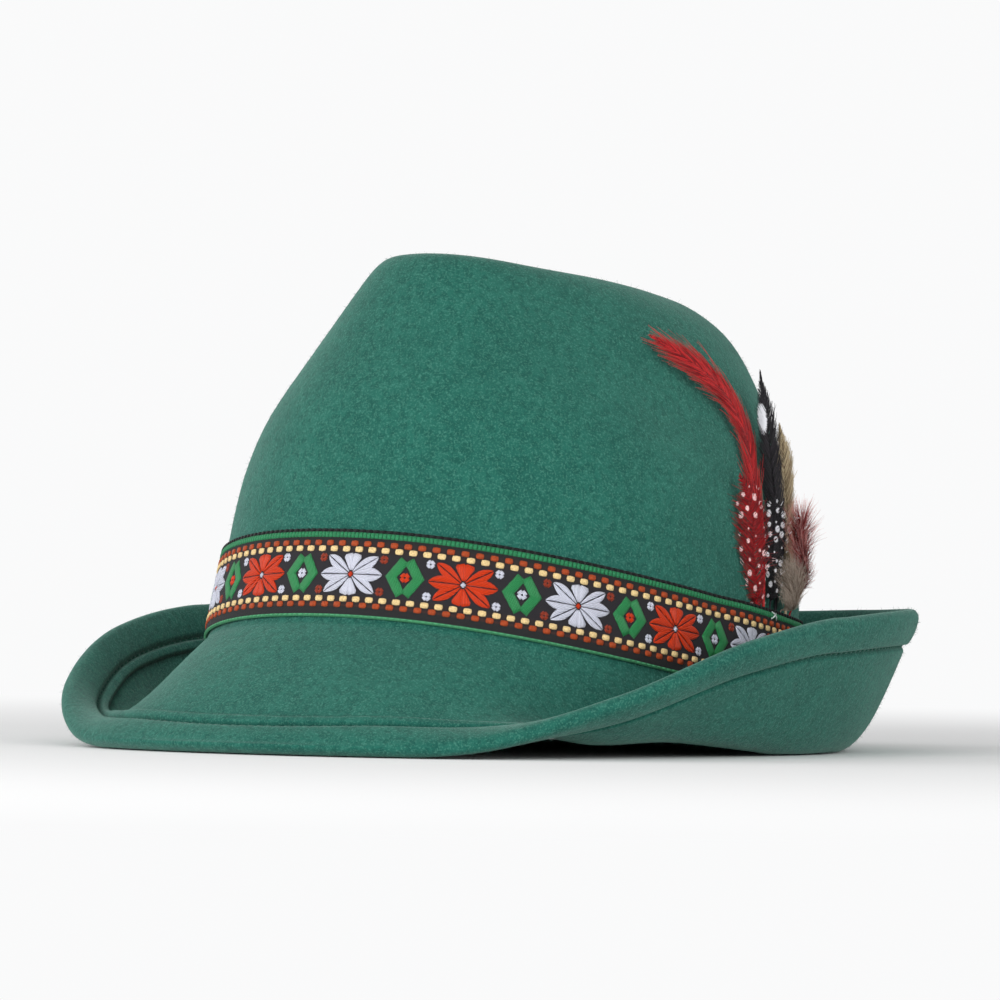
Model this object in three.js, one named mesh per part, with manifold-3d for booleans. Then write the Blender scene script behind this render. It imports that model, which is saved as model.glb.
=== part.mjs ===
// A felt hat with a creased crown, a brim that dips in front and rolls up at the
// sides and rear, a woven ribbon and a bunch of feathers.
//
// The hat is drawn in its own frame: x to the wearer's left, y to the rear, z up,
// with the origin in the middle of the head opening. A "turn" is the angle round
// the crown from the front centre (0) over the wearer's left (90) to the rear (180).
// At the end the hat is set down on the ground as it rests by itself.

import * as THREE from 'three';
import { mergeVertices } from 'three/addons/utils/BufferGeometryUtils.js';
import Module from 'manifold-3d';

// Driving dimensions, in millimetres and degrees

const HEAD_LENGTH = 203; // outside of the crown at its foot, front to rear
const HEAD_WIDTH = 171; // the same, side to side
const HEAD_SQUARENESS = 2.15; // power of the head oval, where 2 is an ellipse
const CROWN_HEIGHT = 124; // foot of the crown to its highest level
const FELT_THICKNESS = 2.2;
const FOOT_WAVE = 2.3; // the crown's foot is this much higher in front and behind

const BRIM_REACH = 42.5; // widest reach of the brim's edge, in plan
const BRIM_DROP = 46.5; // front edge below the crown's foot
const BRIM_RISE = 40; // rear edge above the crown's foot

const HEM_WIDTH = 11.3; // brim's edge to its stitch line
const HEM_TURNING = 4.0; // stitch line to the cut edge of the turned-over felt
const HEM_FOLD = 1.8; // thickness that the turned-over felt adds
const HEM_PUFF = 0.35; // fullness of the hem between edge and stitches
const STITCH_GROOVE_DEPTH = 0.7;
const STITCH_GROOVE_HALF_WIDTH = 1.1;

const PINCH_TURN = 42; // place of the two finger dents in front
const PINCH_SPREAD = 26;
const PINCH_LENGTHWISE = 0.35; // share of the pinch that also draws the front back

const RIBBON_WIDTH = 27.5;
const RIBBON_THICKNESS = 1.0;
const RIBBON_RAISE = 1.0; // lower edge above the crown's foot
const CLEARANCE = 0.3; // between pieces that touch

const QUILL_WIDTH = 1.8;
const QUILL_THICKNESS = 1.3;
const QUILL_TUCK = 12; // length of each quill behind the ribbon
const VANE_THICKNESS = 1.1;
const FEATHER_STAND = 10; // how far the feathers stand off the crown at most
const HACKLE_WIDTH = 7.0;
const GUINEA_WIDTH = 6.8;
const PLUME_WIDTH = 7.0;
const FLUFF_WIDTH = 9.0;
const FLUFF_DEPTH = 5.6; // how far the fluff stands out from front to back
const LOCK_WIDTH = 1.8;
const LOCK_LENGTH = 7.5;

const GROUND_SETTLE = 1.1; // how much the felt flattens where it rests

const STATIONS = 68; // round the hat, an even number

// Crown sections, from the head opening up over the rim and down into the crease.
// Heights are shares of CROWN_HEIGHT, reaches are shares of the head oval's halves.
const CROWN_COLUMNS = [
  'frontHeight', 'sideHeight', 'rearHeight', 'frontReach', 'sideReach', 'rearReach', 'pinch',
];
const CROWN_SECTIONS = [
  [0.000, 0.000, 0.000, 1.000, 1.000, 1.000, 0.00],
  [0.120, 0.120, 0.120, 0.985, 0.985, 0.982, 0.00],
  [0.240, 0.240, 0.240, 0.968, 0.970, 0.960, 0.00],
  [0.420, 0.420, 0.420, 0.938, 0.940, 0.925, 0.00],
  [0.580, 0.580, 0.560, 0.900, 0.890, 0.875, 0.03],
  [0.760, 0.760, 0.710, 0.815, 0.790, 0.795, 0.10],
  [0.905, 0.900, 0.830, 0.745, 0.670, 0.710, 0.15],
  [0.975, 0.965, 0.900, 0.695, 0.570, 0.620, 0.16],
  [0.988, 0.985, 0.925, 0.630, 0.480, 0.535, 0.14],
  [0.965, 0.955, 0.905, 0.570, 0.380, 0.460, 0.10],
  [0.910, 0.890, 0.860, 0.520, 0.240, 0.390, 0.05],
  [0.865, 0.830, 0.815, 0.480, 0.100, 0.340, 0.00],
  [0.855, 0.820, 0.805, 0.460, 0.020, 0.320, 0.00],
];

// Soft dents that handling has left. A depth is a share of CROWN_HEIGHT.
const DENT_COLUMNS = ['turn', 'height', 'turnSpread', 'heightSpread', 'depth'];
const DENTS = [
  [76, 0.68, 15, 0.13, 0.022],
  [-70, 0.72, 18, 0.12, 0.012],
];

// Brim sections by the direction that the brim faces in plan, from front to rear.
// The brim leaves the crown's foot at the angle "leave" and ends at the angle "arrive".
// Its reach, drop and rise are shares of BRIM_REACH, BRIM_DROP and BRIM_RISE, and the
// pull says how strongly it holds both angles, as a share of the straight distance.
const BRIM_COLUMNS = ['facing', 'leave', 'arrive', 'reach', 'drop', 'rise', 'pull'];
const BRIM_SECTIONS = [
  [0, -44, -52, 0.890, 1.000, 0.000, 0.35],
  [22, -44, -48, 0.920, 0.936, 0.000, 0.35],
  [40, -46, -20, 0.958, 0.775, 0.000, 0.46],
  [58, -62, 32, 1.000, 0.345, 0.000, 0.74],
  [76, -66, 54, 0.958, 0.000, 0.225, 0.86],
  [95, -66, 66, 0.860, 0.000, 0.675, 0.80],
  [120, -52, 71, 0.758, 0.000, 0.912, 0.60],
  [150, -40, 73, 0.700, 0.000, 1.000, 0.53],
  [180, -38, 73, 0.672, 0.000, 1.000, 0.52],
];

// Feather paths over the crown: turn, height as a share of CROWN_HEIGHT, lift off the
// crown as a share of FEATHER_STAND, and the vane as a share of the feather's width.
const PATH_COLUMNS = ['turn', 'height', 'lift', 'vane'];

const wasm = await Module();
wasm.setup();

function named(columns, rows) {
  return Object.fromEntries(columns.map((name, place) => [name, rows.map((row) => row[place])]));
}

const CROWN = named(CROWN_COLUMNS, CROWN_SECTIONS);
const CROWN_ROWS = CROWN_SECTIONS.map((row, place) => place);
const LAST_ROW = CROWN_SECTIONS.length - 1;
const BRIM = named(BRIM_COLUMNS, BRIM_SECTIONS);
const DENT = named(DENT_COLUMNS, DENTS);

// A smooth curve through the values of a table's column
function through(places, values, at, flatEnds = false) {
  const last = places.length - 1;
  const x = THREE.MathUtils.clamp(at, places[0], places[last]);
  let k = 0;
  while (k < last - 1 && x > places[k + 1]) k += 1;
  const slope = (i) => {
    if (flatEnds && (i === 0 || i === last)) return 0;
    const before = Math.max(i - 1, 0);
    const after = Math.min(i + 1, last);
    return (values[after] - values[before]) / (places[after] - places[before]);
  };
  const span = places[k + 1] - places[k];
  const u = (x - places[k]) / span;
  const u2 = u * u;
  const u3 = u2 * u;
  return (2 * u3 - 3 * u2 + 1) * values[k] + (u3 - 2 * u2 + u) * span * slope(k)
    + (3 * u2 - 2 * u3) * values[k + 1] + (u3 - u2) * span * slope(k + 1);
}

const signedPower = (value, power) => Math.sign(value) * Math.abs(value) ** power;
const bell = (x) => Math.exp(-x * x);
const footHeight = (turn) => FOOT_WAVE * Math.cos(2 * turn);

// Crown

function smoothCrown(turn, row) {
  const c = Math.cos(turn);
  const s = Math.sin(turn);
  const column = (name) => through(CROWN_ROWS, CROWN[name], row);
  const reach = column(c > 0 ? 'frontReach' : 'rearReach');
  const degrees = Math.abs(THREE.MathUtils.radToDeg(turn));
  const squeeze = column('pinch') * bell((degrees - PINCH_TURN) / PINCH_SPREAD);
  const share = column(c > 0 ? 'frontHeight' : 'rearHeight') * c * c + column('sideHeight') * s * s;
  const side = (HEAD_WIDTH / 2) * column('sideReach') * signedPower(s, 2 / HEAD_SQUARENESS);
  const length = (HEAD_LENGTH / 2) * reach * signedPower(c, 2 / HEAD_SQUARENESS);
  const wave = footHeight(turn) * Math.max(0, 1 - 2 * share);
  return new THREE.Vector3(
    side * (1 - squeeze),
    -length * (1 - PINCH_LENGTHWISE * squeeze),
    CROWN_HEIGHT * share + wave,
  );
}

const TURN_STEP = 0.002;
const ROW_STEP = 0.01;

function normalOf(surface, turn, place, placeStep, first, last) {
  const along = surface(turn + TURN_STEP, place).sub(surface(turn - TURN_STEP, place));
  const from = Math.max(place - placeStep, first);
  const to = Math.min(place + placeStep, last);
  const up = surface(turn, to).sub(surface(turn, from));
  return along.cross(up).normalize();
}

function crownPoint(turn, row) {
  const point = smoothCrown(turn, row);
  let depth = 0;
  const degrees = THREE.MathUtils.radToDeg(Math.atan2(Math.sin(turn), Math.cos(turn)));
  DENTS.forEach((dent, i) => {
    const across = (degrees - DENT.turn[i]) / DENT.turnSpread[i];
    const upward = (point.z / CROWN_HEIGHT - DENT.height[i]) / DENT.heightSpread[i];
    const inside = row <= LAST_ROW / 2 ? 1 : 0;
    depth += inside * CROWN_HEIGHT * DENT.depth[i] * bell(Math.hypot(across, upward));
  });
  if (depth < 0.001) return point;
  return point.addScaledVector(normalOf(smoothCrown, turn, row, ROW_STEP, 0, LAST_ROW), -depth);
}

const crownNormal = (turn, row) => normalOf(crownPoint, turn, row, ROW_STEP, 0, LAST_ROW);

// Crown row that lies a given height above the crown's foot
function rowAtHeight(turn, height) {
  const foot = crownPoint(turn, 0).z;
  let low = 0;
  let high = LAST_ROW / 2;
  for (let i = 0; i < 26; i += 1) {
    const middle = (low + high) / 2;
    if (crownPoint(turn, middle).z - foot < height) low = middle;
    else high = middle;
  }
  return (low + high) / 2;
}

function offCrown(turn, height, lift) {
  const row = rowAtHeight(turn, height);
  return crownPoint(turn, row).addScaledVector(crownNormal(turn, row), lift);
}

// Brim

function planNormal(turn) {
  const c = Math.cos(turn);
  const s = Math.sin(turn);
  const power = 2 * (HEAD_SQUARENESS - 1) / HEAD_SQUARENESS;
  const x = signedPower(s, power) / HEAD_WIDTH;
  const y = -signedPower(c, power) / HEAD_LENGTH;
  return new THREE.Vector3(x, y, 0).normalize();
}

function brimCurve(turn) {
  const outward = planNormal(turn);
  const facing = THREE.MathUtils.radToDeg(Math.atan2(Math.abs(outward.x), -outward.y));
  const column = (name) => through(BRIM.facing, BRIM[name], facing, true);
  const reach = BRIM_REACH * column('reach');
  const height = BRIM_RISE * column('rise') - BRIM_DROP * column('drop');
  const pull = column('pull') * Math.hypot(reach, height);
  const leave = THREE.MathUtils.degToRad(column('leave'));
  const arrive = THREE.MathUtils.degToRad(column('arrive'));
  return new THREE.CubicBezierCurve(
    new THREE.Vector2(0, 0),
    new THREE.Vector2(pull * Math.cos(leave), pull * Math.sin(leave)),
    new THREE.Vector2(reach - pull * Math.cos(arrive), height - pull * Math.sin(arrive)),
    new THREE.Vector2(reach, height),
  );
}

// Brim's upper face, from the crown's foot (share 0) to the edge (share 1)
function brimPoint(turn, share) {
  const at = brimCurve(turn).getPointAt(THREE.MathUtils.clamp(share, 0, 1));
  const point = smoothCrown(turn, 0).addScaledVector(planNormal(turn), at.x);
  point.z += at.y;
  return point;
}

const BRIM_STEP = 0.004;
const brimNormal = (turn, share) => normalOf(brimPoint, turn, share, BRIM_STEP, 0, 1).negate();

// Felt body

// Turns whose places on the head oval are evenly spread, mirrored left and right
function evenTurns(count) {
  const samples = 720;
  const arc = [0];
  for (let i = 1; i <= samples; i += 1) {
    const a = smoothCrown((Math.PI * (i - 1)) / samples, 0);
    const b = smoothCrown((Math.PI * i) / samples, 0);
    arc.push(arc[i - 1] + a.distanceTo(b));
  }
  const half = count / 2;
  const turns = [];
  let k = 0;
  for (let i = 0; i <= half; i += 1) {
    const wanted = (arc[samples] * i) / half;
    while (k < samples - 1 && arc[k + 1] < wanted) k += 1;
    const part = (wanted - arc[k]) / (arc[k + 1] - arc[k]);
    turns.push((Math.PI * (k + part)) / samples);
  }
  for (let i = half - 1; i > 0; i -= 1) turns.push(-turns[i]);
  return turns;
}

const CROWN_OUTSIDE = [12, 11, 10, 9, 8.5, 8, 7.5, 7, 6.5, 6, 5.5, 5, 4.5, 4, 3, 2, 1];
const CROWN_INSIDE = [1.5, 3, 4, 5, 6, 6.5, 7, 7.5, 8, 8.5, 9, 10, 11, 12];
const BRIM_FREE_TOP = [0.2, 0.4, 0.6, 0.8];
const BRIM_FREE_UNDER = [0.86, 0.7, 0.54, 0.42, 0.31, 0.2, 0.1];

// One station of the felt: its points from the crease's outside, over crown and brim,
// round the edge and back under to the crease's inside. Each point also carries the
// point of the felt's underside beneath it, which tells how the ground presses on it.
function feltStation(turn) {
  const points = [];
  const add = (point, beneath = point) => points.push({ point, beneath: beneath.clone() });
  CROWN_OUTSIDE.forEach((row) => add(crownPoint(turn, row)));

  const foot = crownPoint(turn, 0);
  const wallNormal = crownNormal(turn, 0);
  const corner = wallNormal.clone().add(brimNormal(turn, 0)).normalize();
  add(foot);

  const length = brimCurve(turn).getLength();
  const hem = HEM_WIDTH + HEM_TURNING;
  const face = (fromEdge, raise) => {
    const share = 1 - fromEdge / length;
    const normal = brimNormal(turn, Math.min(share, 1));
    const point = brimPoint(turn, share);
    if (fromEdge < 0) {
      const along = brimPoint(turn, 1).sub(brimPoint(turn, 1 - BRIM_STEP)).normalize();
      point.addScaledVector(along, -fromEdge);
    }
    const beneath = point.clone().addScaledVector(normal, Math.min(raise, -FELT_THICKNESS));
    return [point.addScaledVector(normal, raise), beneath];
  };
  const free = (share) => length - share * (length - hem);
  const round = (HEM_FOLD + FELT_THICKNESS) / 2;

  BRIM_FREE_TOP.forEach((share) => add(...face(free(share), 0)));
  add(...face(hem, 0));
  add(...face(hem - 0.25 * HEM_FOLD, 0.8 * HEM_FOLD));
  add(...face(HEM_WIDTH + STITCH_GROOVE_HALF_WIDTH, HEM_FOLD));
  add(...face(HEM_WIDTH, HEM_FOLD - STITCH_GROOVE_DEPTH));
  add(...face(HEM_WIDTH - STITCH_GROOVE_HALF_WIDTH, HEM_FOLD));
  add(...face(HEM_WIDTH / 2, HEM_FOLD + HEM_PUFF));
  add(...face(0.6 * round, 0.75 * HEM_FOLD));
  const edge = face(-0.35 * round, (HEM_FOLD - FELT_THICKNESS) / 2)[0];
  add(edge);
  const under = (fromEdge, sink) => add(face(fromEdge, -sink)[0]);
  under(0.6 * round, 0.8 * FELT_THICKNESS);
  under(HEM_WIDTH / 2, FELT_THICKNESS + HEM_PUFF);
  under(HEM_WIDTH - STITCH_GROOVE_HALF_WIDTH, FELT_THICKNESS);
  under(HEM_WIDTH, FELT_THICKNESS - STITCH_GROOVE_DEPTH);
  under(HEM_WIDTH + STITCH_GROOVE_HALF_WIDTH, FELT_THICKNESS);
  BRIM_FREE_UNDER.forEach((share) => under(free(share), FELT_THICKNESS));

  add(foot.clone().addScaledVector(corner, -FELT_THICKNESS / corner.dot(wallNormal)));
  CROWN_INSIDE.forEach((row) => {
    add(crownPoint(turn, row).addScaledVector(crownNormal(turn, row), -FELT_THICKNESS));
  });
  return points;
}

// Angle by which the hat's front lifts when it lies on its visor's edge and rear roll
function restingTilt(points) {
  const lowest = (tilt, front) => {
    let low = Infinity;
    points.forEach((point) => {
      if (point.y < 0 === front) {
        low = Math.min(low, point.z * Math.cos(tilt) - point.y * Math.sin(tilt));
      }
    });
    return low;
  };
  let less = -Math.PI / 6;
  let more = Math.PI / 4;
  for (let i = 0; i < 40; i += 1) {
    const tilt = (less + more) / 2;
    if (lowest(tilt, true) < lowest(tilt, false)) less = tilt;
    else more = tilt;
  }
  return (less + more) / 2;
}

// Closed body over loops of equal length, whose first and last loops are bridged
// across from left to right
function bridgedBody(loops) {
  const count = loops[0].length;
  const corners = loops.flat().flatMap((point) => point.toArray());
  const faces = [];
  for (let r = 0; r < loops.length - 1; r += 1) {
    for (let i = 0; i < count; i += 1) {
      const a = r * count + i;
      const b = r * count + ((i + 1) % count);
      faces.push(a, a + count, b + count, a, b + count, b);
    }
  }
  const bridge = (start, flip) => {
    for (let i = 0; i < count / 2; i += 1) {
      const left = [start + i, start + i + 1];
      const right = [start + ((count - i) % count), start + count - i - 1];
      const quad = [[left[0], left[1], right[1]], [left[0], right[1], right[0]]];
      quad.filter((face) => new Set(face).size === 3).forEach((face) => {
        faces.push(...(flip ? [face[0], face[2], face[1]] : face));
      });
    }
  };
  bridge(0, false);
  bridge((loops.length - 1) * count, true);
  return indexed(corners, faces);
}

function indexed(corners, faces) {
  const geometry = new THREE.BufferGeometry();
  geometry.setAttribute('position', new THREE.Float32BufferAttribute(corners, 3));
  geometry.setIndex(faces);
  return geometry;
}

const TURNS = evenTurns(STATIONS);
const stations = TURNS.map(feltStation);
const tilt = restingTilt(stations.flat().map((entry) => entry.beneath));
const UP = new THREE.Vector3(0, -Math.sin(tilt), Math.cos(tilt));
const lowest = Math.min(...stations.flat().map((entry) => entry.beneath.dot(UP)));
const groundLevel = lowest + GROUND_SETTLE;

function feltBody() {
  const settled = stations.map((station) => station.map(({ point, beneath }) => {
    const pressed = Math.max(0, groundLevel - beneath.dot(UP));
    return point.clone().addScaledVector(UP, pressed);
  }));
  const loops = settled[0].map((point, r) => settled.map((station) => station[r]));
  return bridgedBody(loops);
}

// Ribbon

const QUILL_TURNS = {
  guinea_red: 95,
  hackle_red: 97.5,
  guinea_dark: 100,
  feather_black: 102.5,
  fluff_taupe: 105,
  feather_tan: 107.5,
  fluff_red: 110,
};
const TUCK_MARGIN = 3; // degrees past the outer quills at full fullness
const TUCK_FADE = 9; // degrees over which the ribbon comes back to the crown

// Share of full quill room that the ribbon leaves at a place
function quillRoom(turn, height) {
  const degrees = THREE.MathUtils.radToDeg(turn);
  const quills = Object.values(QUILL_TURNS);
  const past = Math.max(Math.min(...quills) - degrees, degrees - Math.max(...quills), 0);
  const across = 1 - THREE.MathUtils.smoothstep(past, TUCK_MARGIN, TUCK_MARGIN + TUCK_FADE);
  const bottom = RIBBON_RAISE;
  const full = RIBBON_RAISE + RIBBON_WIDTH - QUILL_TUCK - 2 * CLEARANCE;
  return across * THREE.MathUtils.clamp((height - bottom) / (full - bottom), 0, 1);
}

const RIBBON_LEVELS = [0, 0.24, 0.52, 0.76, 1];

function ribbonBand() {
  const full = QUILL_THICKNESS + CLEARANCE;
  const ring = (level, out) => TURNS.map((turn) => {
    const height = RIBBON_RAISE + RIBBON_WIDTH * level;
    return offCrown(turn, height, CLEARANCE + full * quillRoom(turn, height) + out);
  });
  const outside = [...RIBBON_LEVELS].reverse().map((level) => ring(level, RIBBON_THICKNESS));
  const inside = RIBBON_LEVELS.map((level) => ring(level, 0));
  const loops = [...outside, ...inside];
  const corners = loops.flat().flatMap((point) => point.toArray());
  const faces = [];
  for (let r = 0; r < loops.length; r += 1) {
    for (let i = 0; i < STATIONS; i += 1) {
      const next = (i + 1) % STATIONS;
      const a = r * STATIONS;
      const b = ((r + 1) % loops.length) * STATIONS;
      faces.push(a + i, b + i, b + next, a + i, b + next, a + next);
    }
  }
  return indexed(corners, faces);
}

// Feathers

// Closed body through rings of points, capped with fans
function loftedBody(rings) {
  const sides = rings[0].length;
  const corners = rings.flat();
  const faces = [];
  for (let r = 0; r < rings.length - 1; r += 1) {
    for (let i = 0; i < sides; i += 1) {
      const a = r * sides + i;
      const b = r * sides + ((i + 1) % sides);
      faces.push(a, b, b + sides, a, b + sides, a + sides);
    }
  }
  const end = (rings.length - 1) * sides;
  for (let i = 1; i < sides - 1; i += 1) {
    faces.push(0, i + 1, i);
    faces.push(end, end + i, end + i + 1);
  }
  return indexed(corners.flatMap((point) => point.toArray()), faces);
}

// Frames along a feather's middle line: place, forward, across and off the crown
function featherFrames(path, count) {
  const table = named(PATH_COLUMNS, path);
  const turns = table.turn.map((degrees) => THREE.MathUtils.degToRad(degrees));
  const points = turns.map((turn, i) => {
    return offCrown(turn, CROWN_HEIGHT * table.height[i], FEATHER_STAND * table.lift[i]);
  });
  const normals = turns.map((turn, i) => {
    return crownNormal(turn, rowAtHeight(turn, CROWN_HEIGHT * table.height[i]));
  });
  const line = new THREE.CatmullRomCurve3(points, false, 'centripetal');
  const off = new THREE.CatmullRomCurve3(normals, false, 'centripetal');
  const places = path.map((row, i) => i / (path.length - 1));
  const frames = [];
  for (let k = 0; k < count; k += 1) {
    const share = k / (count - 1);
    const forward = line.getTangent(share);
    const across = off.getPoint(share).cross(forward).normalize();
    const out = forward.clone().cross(across).normalize();
    const vane = through(places, table.vane, share);
    frames.push({ place: line.getPoint(share), forward, across, out, vane });
  }
  return frames;
}

// Flat vane with a raised shaft, six points round
function vaneRing(frame, width, thickness) {
  const outline = [[-0.5, 0], [-0.22, -0.5], [0.22, -0.5], [0.5, 0], [0.22, 0.5], [-0.22, 0.5]];
  return outline.map(([across, out]) => frame.place.clone()
    .addScaledVector(frame.across, across * width)
    .addScaledVector(frame.out, out * thickness));
}

// Lock of barbs that leaves the vane and narrows to its tip
function barbLock(frame, side, length, spread, rise) {
  const angle = THREE.MathUtils.degToRad(spread);
  const heading = frame.forward.clone().multiplyScalar(Math.cos(angle))
    .addScaledVector(frame.across, side * Math.sin(angle))
    .addScaledVector(frame.out, rise)
    .normalize();
  const across = frame.out.clone().cross(heading).normalize();
  const out = heading.clone().cross(across).normalize();
  const rings = [[0, 0.8], [0.5, 1], [1, 0.25]].map(([along, full]) => {
    const place = frame.place.clone().addScaledVector(heading, length * along);
    const half = (LOCK_WIDTH / 2) * full;
    const thick = (VANE_THICKNESS / 2) * (0.9 - 0.4 * along);
    return [[-half, 0], [0, -thick], [half, 0], [0, thick]].map(([x, z]) => place.clone()
      .addScaledVector(across, x)
      .addScaledVector(out, z));
  });
  return loftedBody(rings);
}

function solidOf(geometry) {
  const merged = mergeVertices(geometry);
  return new wasm.Manifold(new wasm.Mesh({
    numProp: 3,
    vertProperties: merged.attributes.position.array,
    triVerts: new Uint32Array(merged.index.array),
  }));
}

function fused(geometries) {
  const solid = geometries.map(solidOf).reduce((whole, piece) => whole.add(piece));
  const mesh = solid.getMesh();
  return indexed(Array.from(mesh.vertProperties), Array.from(mesh.triVerts));
}

// A feather: a quill that is tucked behind the ribbon, a vane and locks of barbs
function feather(name, { width, depth = VANE_THICKNESS, path, locks, stations = 12 }) {
  const foot = RIBBON_RAISE + RIBBON_WIDTH;
  const quillLift = (CLEARANCE + QUILL_THICKNESS / 2) / FEATHER_STAND;
  const quill = [foot - QUILL_TUCK, foot - QUILL_TUCK / 2, foot + 1].map((height) => {
    return [QUILL_TURNS[name], height / CROWN_HEIGHT, quillLift, 0];
  });
  const frames = featherFrames([...quill, ...path], stations);
  const rings = frames.map((frame, k) => {
    const spread = Math.max(0, frame.vane) * width;
    const blunt = k === frames.length - 1 ? 0.5 : 1;
    const wide = Math.max(QUILL_WIDTH * blunt, spread);
    const vaneDepth = Math.max(VANE_THICKNESS, frame.vane * depth);
    return vaneRing(frame, wide, spread > QUILL_WIDTH ? vaneDepth : QUILL_THICKNESS * blunt);
  });
  const bodies = [loftedBody(rings)];
  locks.forEach(([at, side, length, spread, rise]) => {
    const frame = frames[Math.round(at * (frames.length - 1))];
    bodies.push(barbLock(frame, side, LOCK_LENGTH * length, spread, rise));
  });
  return fused(bodies);
}

// Lock columns: share of the way along, side, length as a share of LOCK_LENGTH,
// spread in degrees from the shaft, rise off the crown
const FEATHERS = {
  hackle_red: {
    width: HACKLE_WIDTH,
    colour: 0x9c1f22,
    path: [
      [97.0, 0.353, 0.14, 0.70],
      [95.0, 0.456, 0.15, 0.80],
      [94.2, 0.560, 0.20, 0.90],
      [93.6, 0.650, 0.29, 1.00],
      [90.5, 0.714, 0.42, 1.10],
      [87.0, 0.750, 0.52, 1.10],
      [82.5, 0.780, 0.56, 1.00],
      [77.5, 0.806, 0.50, 0.85],
      [71.0, 0.842, 0.34, 0.30],
    ],
    locks: [
      [0.55, 1, 1.0, 40, 0.1], [0.62, -1, 1.1, 35, 0.1], [0.68, 1, 1.2, 50, 0.1],
      [0.74, -1, 0.9, 35, 0.1], [0.82, 1, 0.8, 30, 0.1],
    ],
    stations: 18,
  },
  guinea_red: {
    width: GUINEA_WIDTH,
    colour: 0xa3161f,
    path: [
      [94.6, 0.255, 0.20, 0.45],
      [93.0, 0.298, 0.29, 0.85],
      [92.0, 0.349, 0.33, 1.00],
      [91.5, 0.420, 0.34, 0.95],
      [90.5, 0.490, 0.37, 0.75],
      [88.5, 0.538, 0.40, 0.35],
    ],
    locks: [
      [0.5, 1, 0.8, 45, 0.1], [0.6, -1, 0.8, 45, 0.1], [0.7, 1, 0.9, 40, 0.1], [0.8, -1, 0.8, 30, 0.1],
    ],
  },
  feather_black: {
    width: PLUME_WIDTH,
    colour: 0x1a1a1e,
    path: [
      [103.2, 0.320, 0.14, 0.50],
      [103.0, 0.380, 0.16, 0.75],
      [102.0, 0.475, 0.22, 0.90],
      [100.6, 0.570, 0.33, 0.90],
      [100.8, 0.646, 0.43, 0.80],
      [100.5, 0.716, 0.60, 0.65],
      [100.0, 0.762, 0.72, 0.50],
      [100.0, 0.806, 0.86, 0.26],
    ],
    locks: [[0.5, -1, 0.8, 30, 0.1], [0.65, 1, 0.8, 28, 0.1], [0.8, -1, 0.8, 25, 0.1]],
    stations: 16,
  },
  feather_tan: {
    width: PLUME_WIDTH,
    colour: 0xa58d6a,
    path: [
      [108.4, 0.340, 0.14, 0.45],
      [108.2, 0.425, 0.19, 0.60],
      [106.6, 0.509, 0.29, 0.75],
      [105.6, 0.576, 0.41, 0.75],
      [105.4, 0.627, 0.52, 0.65],
      [104.8, 0.694, 0.68, 0.26],
    ],
    locks: [[0.6, 1, 0.8, 30, 0.1], [0.8, 1, 0.7, 26, 0.1]],
  },
  guinea_dark: {
    width: GUINEA_WIDTH,
    colour: 0x26262c,
    path: [
      [99.2, 0.280, 0.25, 0.45],
      [98.2, 0.341, 0.32, 0.85],
      [98.0, 0.399, 0.36, 0.95],
      [98.0, 0.456, 0.42, 0.80],
      [98.0, 0.510, 0.52, 0.30],
    ],
    locks: [[0.55, 1, 0.7, 40, 0.1], [0.7, -1, 0.8, 40, 0.1], [0.8, 1, 0.8, 35, 0.1]],
  },
  fluff_taupe: {
    width: FLUFF_WIDTH,
    depth: FLUFF_DEPTH,
    colour: 0x96826e,
    path: [
      [106.2, 0.242, 0.36, 0.30],
      [106.2, 0.262, 0.54, 0.75],
      [106.0, 0.290, 0.58, 0.95],
      [105.8, 0.318, 0.60, 0.80],
      [105.6, 0.342, 0.62, 0.30],
    ],
    locks: [
      [0.55, 1, 0.9, 60, 0.4], [0.55, -1, 0.7, 60, 0.3], [0.65, 1, 0.9, 45, 0.6],
      [0.65, -1, 0.8, 45, 0.5], [0.8, 1, 0.9, 35, 0.4], [0.8, -1, 0.7, 25, 0.6], [0.7, 1, 0.9, 15, 1.2],
    ],
  },
  fluff_red: {
    width: FLUFF_WIDTH,
    depth: FLUFF_DEPTH,
    colour: 0x5c2024,
    path: [
      [110.6, 0.262, 0.26, 0.15],
      [110.8, 0.310, 0.44, 0.18],
      [109.2, 0.350, 0.66, 0.40],
      [106.4, 0.385, 0.76, 0.72],
      [104.8, 0.420, 0.84, 0.62],
      [104.4, 0.446, 0.92, 0.25],
    ],
    locks: [
      [0.65, 1, 0.9, 60, 0.5], [0.7, 1, 1.1, 45, 0.8], [0.7, -1, 0.7, 45, 0.3], [0.8, 1, 1.1, 35, 1.0],
      [0.8, -1, 0.8, 30, 0.2], [0.85, 1, 1.0, 10, 1.4], [0.9, 1, 1.0, 20, 0.4],
    ],
  },
};

function piece(name, geometry, colour, roughness) {
  geometry.computeVertexNormals();
  const material = new THREE.MeshStandardMaterial({ color: colour, roughness, metalness: 0 });
  const mesh = new THREE.Mesh(geometry, material);
  mesh.name = name;
  return mesh;
}

// The whole hat, lifted in front and set down on the ground over the origin
const hat = new THREE.Group();
hat.add(piece('felt_body', feltBody(), 0x3b776b, 0.95));
hat.add(piece('ribbon_band', ribbonBand(), 0x1f1d1c, 0.7));
Object.entries(FEATHERS).forEach(([name, shape]) => {
  hat.add(piece(name, feather(name, shape), shape.colour, 0.6));
});
hat.rotation.x = -tilt;
hat.updateMatrixWorld(true);
const middle = new THREE.Box3().setFromObject(hat, true).getCenter(new THREE.Vector3());
hat.position.set(-middle.x, -middle.y, -groundLevel);

const resting = new THREE.Group();
resting.add(hat);

export default resting;
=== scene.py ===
# %% [markdown]
# A felt hat with a creased crown, a rolled brim, a woven ribbon and a bunch of feathers.
# The frame gives the plain solids at their real size. This script dresses them, so it
# starts by loading that frame.

# %% Load the frame
import math
import bpy
import numpy as np
from mathutils import Matrix, Vector


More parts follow.
